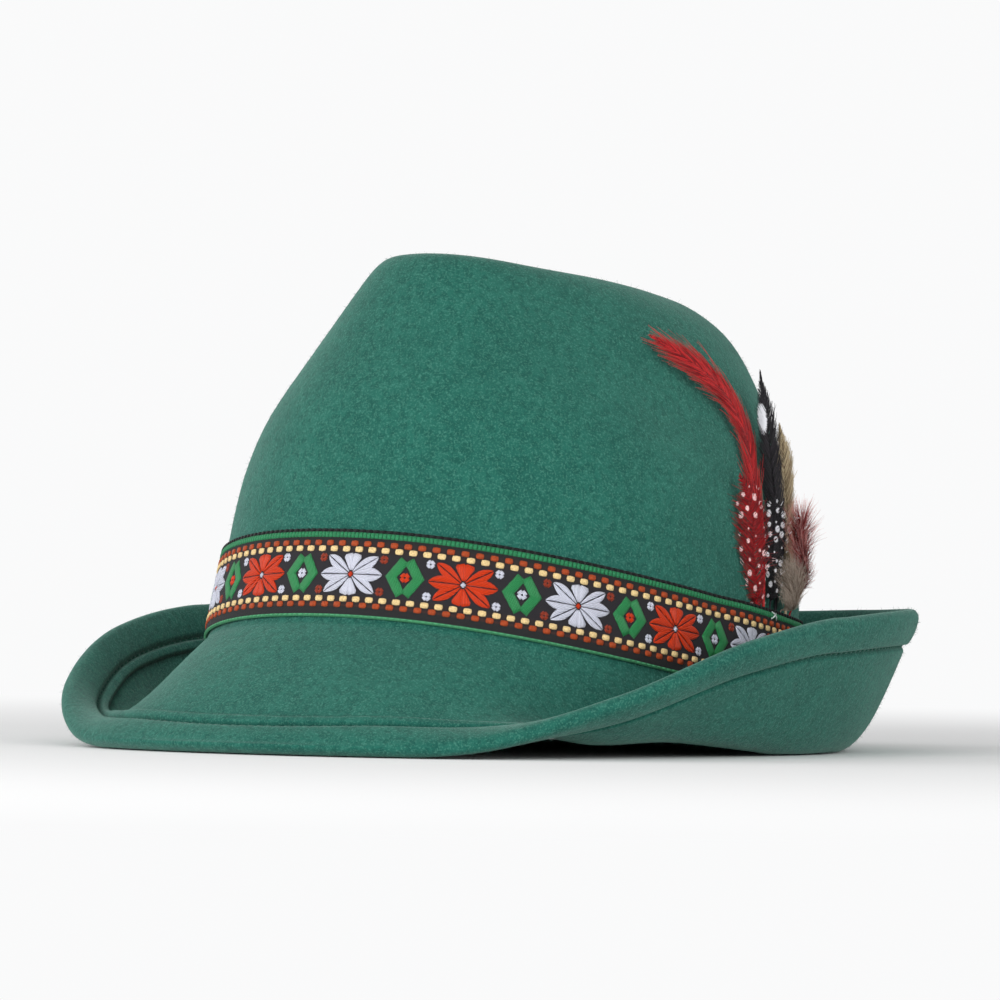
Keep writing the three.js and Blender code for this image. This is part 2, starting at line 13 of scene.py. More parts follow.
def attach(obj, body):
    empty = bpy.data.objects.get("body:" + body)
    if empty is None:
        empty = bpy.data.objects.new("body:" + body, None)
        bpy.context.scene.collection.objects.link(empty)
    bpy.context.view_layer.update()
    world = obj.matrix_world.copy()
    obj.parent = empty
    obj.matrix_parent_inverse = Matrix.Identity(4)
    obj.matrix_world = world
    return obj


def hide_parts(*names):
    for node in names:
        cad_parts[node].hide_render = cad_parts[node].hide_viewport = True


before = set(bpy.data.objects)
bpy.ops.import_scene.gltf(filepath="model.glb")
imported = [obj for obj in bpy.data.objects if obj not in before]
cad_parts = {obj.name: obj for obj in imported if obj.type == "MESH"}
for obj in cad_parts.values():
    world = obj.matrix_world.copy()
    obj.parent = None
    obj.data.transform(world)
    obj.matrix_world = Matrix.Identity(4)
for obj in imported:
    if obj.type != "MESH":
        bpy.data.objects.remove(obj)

MM = 0.001
bpy.context.view_layer.update()

# %% [markdown]
# The hat's own sizes, in millimetres. The felt is drawn in the hat's own frame: x to the
# wearer's left, y to the rear, z up, with the origin in the middle of the head opening.
# A turn is the angle round the crown, from the front (0) over the wearer's left (90).

# %% Sizes of the felt
HEAD_LENGTH = 203.0
HEAD_WIDTH = 171.0
HEAD_SQUARENESS = 2.15
CROWN_HEIGHT = 124.0
FELT_THICKNESS = 2.2
FOOT_WAVE = 2.3
BRIM_REACH = 42.5
BRIM_DROP = 46.5
BRIM_RISE = 40.0
HEM_WIDTH = 11.3
HEM_TURNING = 4.0
HEM_FOLD = 1.8
HEM_PUFF = 1.0
GROOVE_DEPTH = 1.35
GROOVE_WIDTH = 0.85
PINCH_TURN = 42.0
PINCH_SPREAD = 26.0
PINCH_LENGTHWISE = 0.35
REST_TILT = 9.26725  # degrees by which the front lifts when the hat lies down
REST_PLACE = (0.0, 4.384, 20.882)

# Crown sections from the foot over the rim into the crease. Heights are shares of
# CROWN_HEIGHT, reaches are shares of the head oval's halves.
CROWN_COLUMNS = ("frontHeight", "sideHeight", "rearHeight", "frontReach", "sideReach", "rearReach", "pinch")
CROWN_SECTIONS = np.array([
    (0.000, 0.000, 0.000, 1.000, 1.000, 1.000, 0.00),
    (0.120, 0.120, 0.120, 0.985, 0.985, 0.982, 0.00),
    (0.240, 0.240, 0.240, 0.968, 0.970, 0.960, 0.00),
    (0.420, 0.420, 0.420, 0.938, 0.940, 0.925, 0.00),
    (0.580, 0.580, 0.560, 0.900, 0.890, 0.875, 0.03),
    (0.760, 0.760, 0.710, 0.815, 0.790, 0.795, 0.10),
    (0.905, 0.900, 0.830, 0.745, 0.670, 0.710, 0.15),
    (0.975, 0.965, 0.900, 0.695, 0.570, 0.620, 0.16),
    (0.988, 0.985, 0.925, 0.630, 0.480, 0.535, 0.14),
    (0.965, 0.955, 0.905, 0.570, 0.380, 0.460, 0.10),
    (0.910, 0.890, 0.860, 0.520, 0.240, 0.390, 0.05),
    (0.865, 0.830, 0.815, 0.480, 0.100, 0.340, 0.00),
    (0.855, 0.820, 0.805, 0.460, 0.020, 0.320, 0.00),
])
LAST_ROW = len(CROWN_SECTIONS) - 1

# Soft dents: turn, height share, spread in degrees, spread in height, depth share
DENTS = ((76.0, 0.68, 15.0, 0.13, 0.022), (-70.0, 0.72, 18.0, 0.12, 0.012))

# Brim sections by facing direction: leave and arrive angles, reach, drop, rise, pull
BRIM_COLUMNS = ("leave", "arrive", "reach", "drop", "rise", "pull")
BRIM_FACING = np.array((0.0, 22.0, 40.0, 58.0, 76.0, 95.0, 120.0, 150.0, 180.0))
BRIM_SECTIONS = np.array([
    (-44, -52, 0.890, 1.000, 0.000, 0.35),
    (-44, -48, 0.920, 0.936, 0.000, 0.35),
    (-46, -20, 0.958, 0.775, 0.000, 0.46),
    (-62, 32, 1.000, 0.345, 0.000, 0.74),
    (-66, 54, 0.958, 0.000, 0.225, 0.86),
    (-66, 66, 0.860, 0.000, 0.675, 0.80),
    (-52, 71, 0.758, 0.000, 0.912, 0.60),
    (-40, 73, 0.700, 0.000, 1.000, 0.53),
    (-38, 73, 0.672, 0.000, 1.000, 0.52),
])
print("crown sections:", len(CROWN_SECTIONS), "brim sections:", len(BRIM_SECTIONS))

# %% [markdown]
# A smooth curve runs through each column of the tables. It is a cubic Hermite curve whose
# slope at a row comes from the rows beside it, so moving one row changes only its
# neighbourhood. At the front and rear centre the brim's columns end flat, because the
# hat is mirrored there.

# %% Curves through the tables
def through(places, values, at, flat_ends=False):
    x = np.clip(at, places[0], places[-1])
    k = np.clip(np.searchsorted(places, x, side="right") - 1, 0, len(places) - 2)
    before = np.maximum(np.arange(len(places)) - 1, 0)
    after = np.minimum(np.arange(len(places)) + 1, len(places) - 1)
    slope = (values[after] - values[before]) / (places[after] - places[before])
    if flat_ends:
        slope[0] = slope[-1] = 0.0
    span = places[k + 1] - places[k]
    u = (x - places[k]) / span
    u2, u3 = u * u, u * u * u
    start = (2 * u3 - 3 * u2 + 1) * values[k] + (u3 - 2 * u2 + u) * span * slope[k]
    return start + (3 * u2 - 2 * u3) * values[k + 1] + (u3 - u2) * span * slope[k + 1]


def signed_power(value, power):
    return np.sign(value) * np.abs(value) ** power


def unit(vectors):
    return vectors / np.linalg.norm(vectors, axis=-1, keepdims=True)


def run_along(points):
    """Distance of each point from the first, along the line through them."""
    return np.concatenate([[0], np.cumsum(np.linalg.norm(np.diff(points, axis=0), axis=1))])


def foot_height(turn):
    return FOOT_WAVE * np.cos(2 * turn)


def smooth_crown(turn, row):
    c, s = np.cos(turn), np.sin(turn)
    rows = np.arange(LAST_ROW + 1.0)
    col = {name: through(rows, CROWN_SECTIONS[:, i], row) for i, name in enumerate(CROWN_COLUMNS)}
    reach = np.where(c > 0, col["frontReach"], col["rearReach"])
    squeeze = col["pinch"] * np.exp(-((np.abs(np.degrees(turn)) - PINCH_TURN) / PINCH_SPREAD) ** 2)
    share = np.where(c > 0, col["frontHeight"], col["rearHeight"]) * c * c + col["sideHeight"] * s * s
    x = HEAD_WIDTH / 2 * col["sideReach"] * signed_power(s, 2 / HEAD_SQUARENESS) * (1 - squeeze)
    y = -HEAD_LENGTH / 2 * reach * signed_power(c, 2 / HEAD_SQUARENESS) * (1 - PINCH_LENGTHWISE * squeeze)
    z = CROWN_HEIGHT * share + foot_height(turn) * np.maximum(0, 1 - 2 * share)
    return np.stack([x, y, z], axis=-1)


TURN_STEP = 0.002
ROW_STEP = 0.01


def normal_of(surface, turn, place, step, first, last):
    along = surface(turn + TURN_STEP, place) - surface(turn - TURN_STEP, place)
    low, high = np.maximum(place - step, first), np.minimum(place + step, last)
    return unit(np.cross(along, surface(turn, high) - surface(turn, low)))


def crown(turn, row):
    row = row + np.zeros_like(turn)
    point = smooth_crown(turn, row)
    degrees = np.degrees(np.arctan2(np.sin(turn), np.cos(turn)))
    depth = np.zeros_like(turn)
    for place, height, turn_spread, height_spread, share in DENTS:
        across = (degrees - place) / turn_spread
        upward = (point[..., 2] / CROWN_HEIGHT - height) / height_spread
        depth += CROWN_HEIGHT * share * np.exp(-across ** 2 - upward ** 2)
    depth = np.where(row <= LAST_ROW / 2, depth, 0.0)
    return point - normal_of(smooth_crown, turn, row, ROW_STEP, 0, LAST_ROW) * depth[..., None]


def crown_normal(turn, row):
    return normal_of(crown, turn, row + np.zeros_like(turn), ROW_STEP, 0, LAST_ROW)


print("crown rim at the side:", np.round(crown(np.array([math.pi / 2]), 8.0)[0], 1))

# %% [markdown]
# The brim leaves the crown's foot on a slope and ends on another one. A cubic Bezier
# curve holds both slopes, so each station of the brim is one such curve.

# %% Brim surface
BRIM_SAMPLES = np.linspace(0, 1, 81)


def plan_normal(turn):
    power = 2 * (HEAD_SQUARENESS - 1) / HEAD_SQUARENESS
    x = signed_power(np.sin(turn), power) / HEAD_WIDTH
    y = -signed_power(np.cos(turn), power) / HEAD_LENGTH
    return unit(np.stack([x, y, np.zeros_like(x)], axis=-1))


def brim_controls(turn):
    out = plan_normal(turn)
    facing = np.degrees(np.arctan2(np.abs(out[..., 0]), -out[..., 1]))
    col = {n: through(BRIM_FACING, BRIM_SECTIONS[:, i], facing, True) for i, n in enumerate(BRIM_COLUMNS)}
    reach = BRIM_REACH * col["reach"]
    height = BRIM_RISE * col["rise"] - BRIM_DROP * col["drop"]
    pull = col["pull"] * np.hypot(reach, height)
    leave, arrive = np.radians(col["leave"]), np.radians(col["arrive"])
    p1 = np.stack([pull * np.cos(leave), pull * np.sin(leave)], axis=-1)
    p3 = np.stack([reach, height], axis=-1)
    p2 = p3 - np.stack([pull * np.cos(arrive), pull * np.sin(arrive)], axis=-1)
    return p1, p2, p3


def bezier(controls, u):
    p1, p2, p3 = controls
    u = u[..., None]
    return 3 * (1 - u) ** 2 * u * p1 + 3 * (1 - u) * u * u * p2 + u ** 3 * p3


def brim_lengths(turn):
    p1, p2, p3 = brim_controls(turn)
    line = bezier((p1[:, None], p2[:, None], p3[:, None]), BRIM_SAMPLES[None, :] + np.zeros((len(turn), 1)))
    steps = np.linalg.norm(np.diff(line, axis=1), axis=-1)
    return np.concatenate([np.zeros((len(turn), 1)), np.cumsum(steps, axis=1)], axis=1)


def brim(turn, share):
    share = np.clip(share + np.zeros_like(turn), 0, 1)
    run = brim_lengths(turn)
    u = np.array([np.interp(s * row[-1], row, BRIM_SAMPLES) for s, row in zip(share, run)])
    at = bezier(brim_controls(turn), u)
    point = smooth_crown(turn, np.zeros_like(turn)) + plan_normal(turn) * at[:, :1]
    point[:, 2] += at[:, 1]
    return point


BRIM_STEP = 0.004


def brim_normal(turn, share):
    return -normal_of(brim, turn, share + np.zeros_like(turn), BRIM_STEP, 0.0, 1.0)


print("brim width front, side, rear:", np.round(brim_lengths(np.array([0, math.pi / 2, math.pi]))[:, -1], 1))

# %% [markdown]
# At rest the hat lies on the edge of its visor and on the roll at its rear, with the front
# lifted. The felt gives a little there, so what would reach below the ground is pressed up
# to it, together with the felt above it.

# %% Laying the hat down
TILT = math.radians(REST_TILT)
UP = np.array([0.0, -math.sin(TILT), math.cos(TILT)])
TURNED = np.array([[1, 0, 0], [0, math.cos(TILT), math.sin(TILT)], [0, -math.sin(TILT), math.cos(TILT)]])


def pressed(point, beneath):
    lift = np.maximum(0.0, -REST_PLACE[2] - beneath @ UP)
    return point + lift[..., None] * UP


def to_rest(points):
    return (points @ TURNED.T + np.array(REST_PLACE)) * MM


def directions_to_rest(vectors):
    return vectors @ TURNED.T


def placed(name, data):
    """A new object with this data, put in the scene."""
    made = bpy.data.objects.new(name, data)
    bpy.context.scene.collection.objects.link(made)
    return made


def new_piece(name, corners, faces):
    mesh = bpy.data.meshes.new(name)
    mesh.from_pydata([tuple(c) for c in corners.tolist()], [], faces)
    mesh.update()
    mesh.polygons.foreach_set("use_smooth", [True] * len(mesh.polygons))
    return placed(name, mesh)


def keep_values(mesh, name, values):
    """Keeps a number or a vector for each corner of the mesh."""
    values = np.asarray(values, np.float32)
    kind, key = ("FLOAT", "value") if values.ndim == 1 else ("FLOAT_VECTOR", "vector")
    mesh.attributes.new(name, kind, "POINT").data.foreach_set(key, values.ravel())


def keep_uvs(mesh, name, uvs):
    """Keeps a flat place in millimetres for each corner of each face."""
    mesh.uv_layers.new(name=name).data.foreach_set("uv", np.array(uvs, dtype=np.float32).ravel())


# %% [markdown]
# The felt is one body: outside of the crown, upper face of the brim, its hem, the edge,
# the underside and the inside of the crown. It is made as loops round the hat, a few
# millimetres apart on the plain stretches and much closer at the hem, where the felt is
# turned over and stitched. The stitches pull a groove into both faces.

# %% Felt body
STATIONS = 264


def even_turns(count):
    fine = np.linspace(0, math.pi, 1441)
    run = run_along(smooth_crown(fine, np.zeros_like(fine)))
    half = np.interp(np.linspace(0, run[-1], count // 2 + 1), run, fine)
    return np.concatenate([half, -half[-2:0:-1]])


TURNS = even_turns(STATIONS)
RUN = brim_lengths(TURNS)[:, -1]
HEM = HEM_WIDTH + HEM_TURNING
EDGE_FULLNESS = 0.7  # by which the rolled edge is fuller than its two layers, on each face
EDGE_OVER = 0.7  # by which it reaches past the brim's line
EDGE_ROUND = (HEM_FOLD + FELT_THICKNESS) / 2 + EDGE_FULLNESS
EDGE_MIDDLE = (HEM_FOLD - FELT_THICKNESS) / 2
CUT_SOFTNESS = 0.16
GROOVE_SHADE = 0.75
GROOVE_SHADE_WIDTH = 0.75
# Height, length and seed of the uneven waves in the felt and in its cut edge
FELT_WAVES = ((0.28, 14.0, 1), (0.1, 4.5, 2))
CUT_WAVES = ((0.35, 9.0, 5), (0.2, 3.0, 6))


def handmade(points, size, seed):
    """Slow uneven waves, so that no stretch of felt is perfectly even."""
    angles = np.random.default_rng(seed).uniform(0, 2 * math.pi, (6, 4))
    total = np.zeros(len(points))
    for k, (a, b, c, d) in enumerate(angles):
        way = np.array([math.cos(a) * math.cos(b), math.sin(a) * math.cos(b), math.sin(b)])
        total += np.sin(points @ way / size * (1 + 0.23 * k) + c * 3 + d)
    return total / 6


def brim_face(from_edge, raise_by):
    """Points of one loop on the brim, and the underside beneath them."""
    share = np.clip(1 - from_edge / RUN, 0, 1)
    normal = brim_normal(TURNS, share)
    point = brim(TURNS, share)
    beyond = np.maximum(0, -(from_edge + np.zeros_like(RUN)))
    along = unit(brim(TURNS, np.ones_like(RUN)) - brim(TURNS, np.full_like(RUN, 1 - BRIM_STEP)))
    point = point + along * beyond[:, None]
    raise_by = raise_by + np.zeros_like(RUN)
    beneath = point + normal * np.minimum(raise_by, -FELT_THICKNESS)[:, None]
    return point + normal * raise_by[:, None], beneath


def hem_puff(from_edge):
    """The doubled felt swells between its stitches and its edge."""
    return HEM_PUFF * np.maximum(0, np.sin(np.clip(from_edge / HEM_WIDTH, 0, 1) * math.pi)) ** 0.7


def groove(from_edge):
    """Depth of the furrow that the stitches pull into the felt."""
    return GROOVE_DEPTH * np.exp(-((from_edge - HEM_WIDTH) / GROOVE_WIDTH) ** 2)


def hem_top(from_edge):
    """Height of the upper face over the brim's plain felt."""
    cut = HEM_FOLD / (1 + np.exp((from_edge - HEM) / CUT_SOFTNESS))
    return cut - groove(from_edge) + hem_puff(from_edge)


def hem_under(from_edge):
    return -FELT_THICKNESS + groove(from_edge) - hem_puff(from_edge)


# Painted shade in the groove that the stitches pull into the felt.
def groove_shade(from_edge):
    return GROOVE_SHADE * math.exp(-((from_edge - HEM_WIDTH) / GROOVE_SHADE_WIDTH) ** 2)


def felt_loops():
    """Loops of the felt: places, the underside beneath them, and the painted shade in the groove and beside the
    cut edge.
    """
    loops = []
    above = np.concatenate([np.arange(12, 9, -0.34), np.arange(9, 5, -0.125), np.arange(5, 0.1, -0.2)])
    for row in above:
        point = crown(TURNS, row)
        loops.append((point, point, 0.0))
    wall, slope = crown_normal(TURNS, 0.0), brim_normal(TURNS, 0.0)
    foot = crown(TURNS, 0.0)
    loops.append((foot, foot, 0.0))
    cut_line = sum(height * handmade(foot, size, seed) for height, size, seed in CUT_WAVES)
    for share in np.linspace(0.05, 0.97, 20):
        loops.append((*brim_face(RUN - share * (RUN - HEM - 0.8), 0.0), 0.0))
    near = [0.75, 0.45, 0.25, 0.1, -0.05, -0.25, -0.5, *np.arange(-1.0, -HEM_TURNING + 2, -0.5)]
    for step in near:
        # Painted shadow on the plain felt beside the hem's cut edge.
        shade = math.exp(-((step - 0.3) / 0.5) ** 2)
        loops.append((*brim_face(HEM + step + cut_line, hem_top(HEM + step)), shade))
    groove_steps = np.arange(1.9, -2.0, -0.3)
    for d in HEM_WIDTH + groove_steps:
        loops.append((*brim_face(d, hem_top(d)), groove_shade(d)))
    for d in np.linspace(HEM_WIDTH - 2.6, EDGE_ROUND + 0.7, 6):
        loops.append((*brim_face(d, hem_top(d)), 0.0))
    for angle in np.radians(np.linspace(82, -82, 11)):
        d = EDGE_ROUND - (EDGE_ROUND + EDGE_OVER) * math.cos(angle)
        loops.append((*brim_face(d, EDGE_MIDDLE + EDGE_ROUND * math.sin(angle)), 0.0))
    for d in np.linspace(EDGE_ROUND + 0.7, HEM_WIDTH - 2.6, 6):
        loops.append((*brim_face(d, hem_under(d)), 0.0))
    for d in HEM_WIDTH + groove_steps[::-1]:
        loops.append((*brim_face(d, hem_under(d)), groove_shade(d)))
    for share in np.linspace(0.93, 0.04, 22):
        loops.append((*brim_face(RUN - share * (RUN - HEM), -FELT_THICKNESS), 0.0))
    corner = unit(wall + slope)
    inner = foot - corner * (FELT_THICKNESS / np.sum(corner * wall, axis=1))[:, None]
    loops.append((inner, inner, 0.0))
    for row in np.concatenate([np.arange(0.5, 5, 0.4), np.arange(5, 9, 0.2), np.arange(9, 12.01, 0.5)]):
        point = crown(TURNS, row) - crown_normal(TURNS, row) * FELT_THICKNESS
        loops.append((point, point, 0.0))
    return loops


def felt_body():
    loops, painted_hem_shade = [], []
    for point, beneath, shade in felt_loops():
        painted_hem_shade.append(np.full(STATIONS, shade))
        waves = sum(height * handmade(point, size, seed) for height, size, seed in FELT_WAVES)
        outward = unit(point * np.array([1, 1, 0.6]) + np.array([0, 0, 10.0]))
        loops.append(pressed(point + outward * waves[:, None], beneath + outward * waves[:, None]))
    corners = to_rest(np.concatenate(loops))
    faces = []
    for r in range(len(loops) - 1):
        for i in range(STATIONS):
            a, b = r * STATIONS + i, r * STATIONS + (i + 1) % STATIONS
            faces.append((a, a + STATIONS, b + STATIONS, b))
    for start, flip in ((0, False), ((len(loops) - 1) * STATIONS, True)):
        for i in range(STATIONS // 2):
            ring = [start + i, start + i + 1, start + STATIONS - i - 1, start + (STATIONS - i) % STATIONS]
            ring = list(dict.fromkeys(ring))
            faces.append(tuple(reversed(ring)) if flip else tuple(ring))
    piece = new_piece("felt", corners, faces)
    # The painted shade of each loop is kept on the felt's corners.
    keep_values(piece.data, "painted_hem_shade", np.concatenate(painted_hem_shade))
    print("felt loops:", len(loops), "faces:", len(faces))
    return piece


felt = felt_body()

# %% [markdown]
# The ribbon and the feathers both lie against the crown's wall. So the wall is measured
# once on a grid of turns and heights above the foot, and looked up from there.

# %% Wall of the crown
WALL_TURNS = np.linspace(-math.pi, math.pi, 1441)
WALL_ROWS = np.linspace(0, 6.6, 133)
WALL_HEIGHTS = np.linspace(0, 0.93 * CROWN_HEIGHT, 232)


def wall_grid():
    points = np.stack([crown(WALL_TURNS, row) for row in WALL_ROWS], axis=1)
    along = np.gradient(points, axis=0)
    along[0] = along[-1] = points[1] - points[-2]
    normals = unit(np.cross(along, np.gradient(points, axis=1)))
    rise = np.maximum.accumulate(points[..., 2] - points[:, :1, 2], axis=1)
    grid = np.zeros((len(WALL_TURNS), len(WALL_HEIGHTS), 6))
    both = np.concatenate([points, normals], axis=2)
    for i in range(len(WALL_TURNS)):
        for j in range(6):
            grid[i, :, j] = np.interp(WALL_HEIGHTS, rise[i], both[i, :, j])
    return grid


WALL = wall_grid()


def on_wall(turn, height):
    """Places and outward normals of the crown's wall, for arrays of turns and heights."""
    u = (np.mod(turn + math.pi, 2 * math.pi)) / (WALL_TURNS[1] - WALL_TURNS[0])
    v = np.clip(height, 0, WALL_HEIGHTS[-1]) / (WALL_HEIGHTS[1] - WALL_HEIGHTS[0])
    i, j = np.minimum(u.astype(int), len(WALL_TURNS) - 2), np.minimum(v.astype(int), len(WALL_HEIGHTS) - 2)
    du, dv = (u - i)[..., None], (v - j)[..., None]
    low = WALL[i, j] * (1 - du) + WALL[i + 1, j] * du
    high = WALL[i, j + 1] * (1 - du) + WALL[i + 1, j + 1] * du
    value = low * (1 - dv) + high * dv
    return value[..., :3], unit(value[..., 3:])


print("wall grid:", WALL.shape)

# %% [markdown]
# The ribbon is a woven band. Its places are given as a distance along it from the front
# centre and a height across it, so that its pattern can be drawn flat and then laid round
# the crown. Where the quills go behind it, it stands off the crown.

# %% Ribbon lengthwise measure
RIBBON_WIDTH = 27.5
RIBBON_THICKNESS = 1.0
RIBBON_RAISE = 1.0
CLEARANCE = 0.3
QUILL_WIDTH = 1.8
QUILL_THICKNESS = 1.3
QUILL_TUCK = 12.0
QUILL_TURNS = {
    "guinea_red": 95.0, "hackle_red": 97.5, "guinea_dark": 100.0, "feather_black": 102.5,
    "fluff_taupe": 105.0, "feather_tan": 107.5, "fluff_red": 110.0,
}
TUCK_MARGIN = 3.0
TUCK_FADE = 9.0


def quill_room(turn, height):
    degrees = np.degrees(turn)
    first, last = min(QUILL_TURNS.values()), max(QUILL_TURNS.values())
    past = np.maximum(np.maximum(first - degrees, degrees - last), 0)
    fade = np.clip((past - TUCK_MARGIN) / TUCK_FADE, 0, 1)
    full = RIBBON_RAISE + RIBBON_WIDTH - QUILL_TUCK - 2 * CLEARANCE
    upward = np.clip((height - RIBBON_RAISE) / (full - RIBBON_RAISE), 0, 1)
    return (1 - fade * fade * (3 - 2 * fade)) * upward


def ribbon_surface(turn, across, out):
    """Point and normal at a turn, a height across the ribbon and a lift off its face."""
    height = RIBBON_RAISE + across
    point, normal = on_wall(turn, height)
    room = (QUILL_THICKNESS + CLEARANCE) * quill_room(turn, height)
    return point + normal * (CLEARANCE + RIBBON_THICKNESS + room + out)[..., None], normal


def ribbon_measure():
    halfway, flush = np.full_like(WALL_TURNS, RIBBON_WIDTH / 2), np.zeros_like(WALL_TURNS)
    middle, _ = ribbon_surface(WALL_TURNS, halfway, flush)
    run = run_along(middle)
    return run - np.interp(0.0, WALL_TURNS, run)


RIBBON_RUN = ribbon_measure()
RIBBON_START, RIBBON_END = float(RIBBON_RUN[0]), float(RIBBON_RUN[-1])
print("ribbon length round the crown in mm: %.1f" % (RIBBON_END - RIBBON_START))


def ribbon_place(along, across, out):
    """Lays flat places of the pattern round the crown."""
    wrapped = RIBBON_START + np.mod(along - RIBBON_START, RIBBON_END - RIBBON_START)
    turn = np.interp(wrapped, RIBBON_RUN, WALL_TURNS)
    return ribbon_surface(turn, across, out)[0]


# %% [markdown]
# The real ribbon is one flat tape with softly rounded edges, sewn into a ring. A bent plane
# with a Solidify modifier would do, but its edges would be square. So a closed profile is
# carried round the crown, and each corner keeps its flat place for the woven pattern.

# %% Ribbon body
RIBBON_STATIONS = 360
RIBBON_EDGE = 0.45
# The rounded edge, from the face down: distance in from the edge and out from the face
RIBBON_ROUND = ((0.12, -0.25), (0.0, -0.5), (0.12, -0.8))


def ribbon_body():
    turns = np.linspace(-math.pi, math.pi, RIBBON_STATIONS, endpoint=False)
    along = np.interp(turns, WALL_TURNS, RIBBON_RUN)
    inner = np.linspace(RIBBON_EDGE, RIBBON_WIDTH - RIBBON_EDGE, 12)
    profile = [(a, 0.0) for a in inner[::-1]] + list(RIBBON_ROUND)
    profile += [(a, -RIBBON_THICKNESS) for a in inner]
    profile += [(RIBBON_WIDTH - a, out) for a, out in reversed(RIBBON_ROUND)]
    loops, flat = [], []
    for across, out in profile:
        soft = 0.05 * np.sin(along / 3.1) * np.sin(along / 7.7) * (1 if out > -0.9 else 0)
        a = np.full_like(turns, across)
        loops.append(ribbon_surface(turns, a, out + soft)[0])
        flat.append(np.stack([along, a], axis=-1))
    corners, sides = to_rest(np.concatenate(loops)), len(profile)
    faces, uvs = [], []
    for r in range(sides):
        for i in range(RIBBON_STATIONS):
            n, q = (i + 1) % RIBBON_STATIONS, (r + 1) % sides
            faces.append((r * RIBBON_STATIONS + i, q * RIBBON_STATIONS + i, q * RIBBON_STATIONS + n,
                          r * RIBBON_STATIONS + n))
            end = flat[r][n, 0] if n else RIBBON_END
            uvs += [flat[r][i], flat[q][i], (end, flat[q][n, 1]), (end, flat[r][n, 1])]
    piece = new_piece("ribbon", corners, faces)
    keep_uvs(piece.data, "ribbon_mm", uvs)
    return piece


ribbon = ribbon_body()
print("ribbon faces:", len(ribbon.data.polygons))

# %% [markdown]
# The pattern is woven from thick satin threads that stand up from the dark ground: alpine
# flowers in white and red by turns, green diamonds between them, and small squares at the
# flowers' corners. Each block of thread is a low pad. A pad is drawn flat as a spine with
# a width, domed across, and laid on the ribbon by the function above.

# %% Pads of thread
PAD_SINK = 0.14


class Pads:
    """Collects closed low pads and joins them into one mesh."""

    def __init__(self):
        self.corners, self.faces, self.uvs, self.count = [], [], [], 0

    def add(self, top, base, thread):
        """top and base are grids of places; thread is the grid of thread coordinates."""
        rows, cols = top.shape[:2]
        start, size = self.count, rows * cols
        self.corners += [top.reshape(-1, 3), base.reshape(-1, 3)]
        self.count += 2 * size
        grid = np.arange(size).reshape(rows, cols)
        t = thread.reshape(-1, 2)
        for i in range(rows - 1):
            for j in range(cols - 1):
                ring = [grid[i, j], grid[i + 1, j], grid[i + 1, j + 1], grid[i, j + 1]]
                self.put([start + k for k in ring], [t[k] for k in ring])
                self.put([start + size + k for k in reversed(ring)], [t[k] for k in reversed(ring)])
        rim = list(grid[0, :]) + list(grid[1:, -1]) + list(grid[-1, -2::-1]) + list(grid[-2:0:-1, 0])
        for a, b in zip(rim, rim[1:] + rim[:1]):
            self.put([start + a, start + b, start + size + b, start + size + a], [t[a], t[b], t[b], t[a]])

    def put(self, face, uv):
        self.faces.append(tuple(int(k) for k in face))
        self.uvs += uv

    def piece(self, name):
        made = new_piece(name, to_rest(np.concatenate(self.corners)), self.faces)
        keep_uvs(made.data, "thread_mm", self.uvs)
        return made


def strip_pad(pads, spine, widths, height, cross=5):
    """A pad along a flat spine of (along, across) places with a width at each."""
    spine = np.array(spine, float)
    tangent = unit(np.gradient(spine, axis=0))
    side = np.stack([-tangent[:, 1], tangent[:, 0]], axis=-1)
    b = np.linspace(-1, 1, cross)
    flat = spine[:, None] + side[:, None] * (np.array(widths)[:, None, None] / 2) * b[None, :, None]
    dome = np.sqrt(np.maximum(0, 1 - (0.92 * b) ** 2))[None, :] * np.ones((len(spine), 1))
    ends = np.clip(np.minimum(np.arange(len(spine)), np.arange(len(spine))[::-1]) / 1.0, 0.25, 1)
    out = height * dome * ends[:, None]
    thread = np.stack([run_along(spine)[:, None] + 0 * b, (np.array(widths)[:, None] / 2) * b], axis=-1)
    top = ribbon_place(flat[..., 0], flat[..., 1], out)
    base = ribbon_place(flat[..., 0], flat[..., 1], np.full(out.shape, -PAD_SINK))
    pads.add(top, base, thread)


# %% [markdown]
# A flower has eight petals: two broad ones above and below, four slanting ones and two long
# ones to the sides. The dark splits between them are left free, so the ground shows.

# %% Flowers, diamonds and squares
MOTIF_PITCH = 36.1
FIRST_FLOWER = -62.2  # place of a white flower, from the front centre
FLOWER_STEPS = range(-5, 12)
MOTIF_MIDDLE = 13.4
SATIN_HEIGHT = 0.42
# Tip of each petal from the flower's middle, its greatest width and where that lies
PETALS = (
    ((10.6, 0.2), 4.3, 0.6), ((-10.6, -0.2), 4.3, 0.6),
    ((8.6, 5.6), 3.5, 0.64), ((-8.6, 5.6), 3.5, 0.64), ((8.6, -5.6), 3.5, 0.64), ((-8.6, -5.6), 3.5, 0.64),
)
PETAL_SPLIT = 0.11
FLOWER_EYE = 1.0


def petal(pads, centre, tip, width, widest, bend):
    """One half of a split petal, bowed to one side of its middle line."""
    tip = np.array(tip)
    reach = np.linalg.norm(tip)
    way = tip / reach
    side = np.array([-way[1], way[0]]) * bend
    shares = np.linspace(FLOWER_EYE / reach, 1, 8)
    rising = np.sin(np.clip(shares / widest, 0, 1) * math.pi / 2) ** 1.15
    falling = np.cos(np.clip((shares - widest) / (1 - widest), 0, 0.999) * math.pi / 2) ** 0.8
    full = rising * falling
    half = np.maximum(0.1, width / 2 * full)
    spine = np.array(centre) + way * (shares * reach)[:, None] + side * (half / 2 + PETAL_SPLIT)[:, None]
    strip_pad(pads, spine, np.maximum(0.16, half * 0.96), SATIN_HEIGHT)


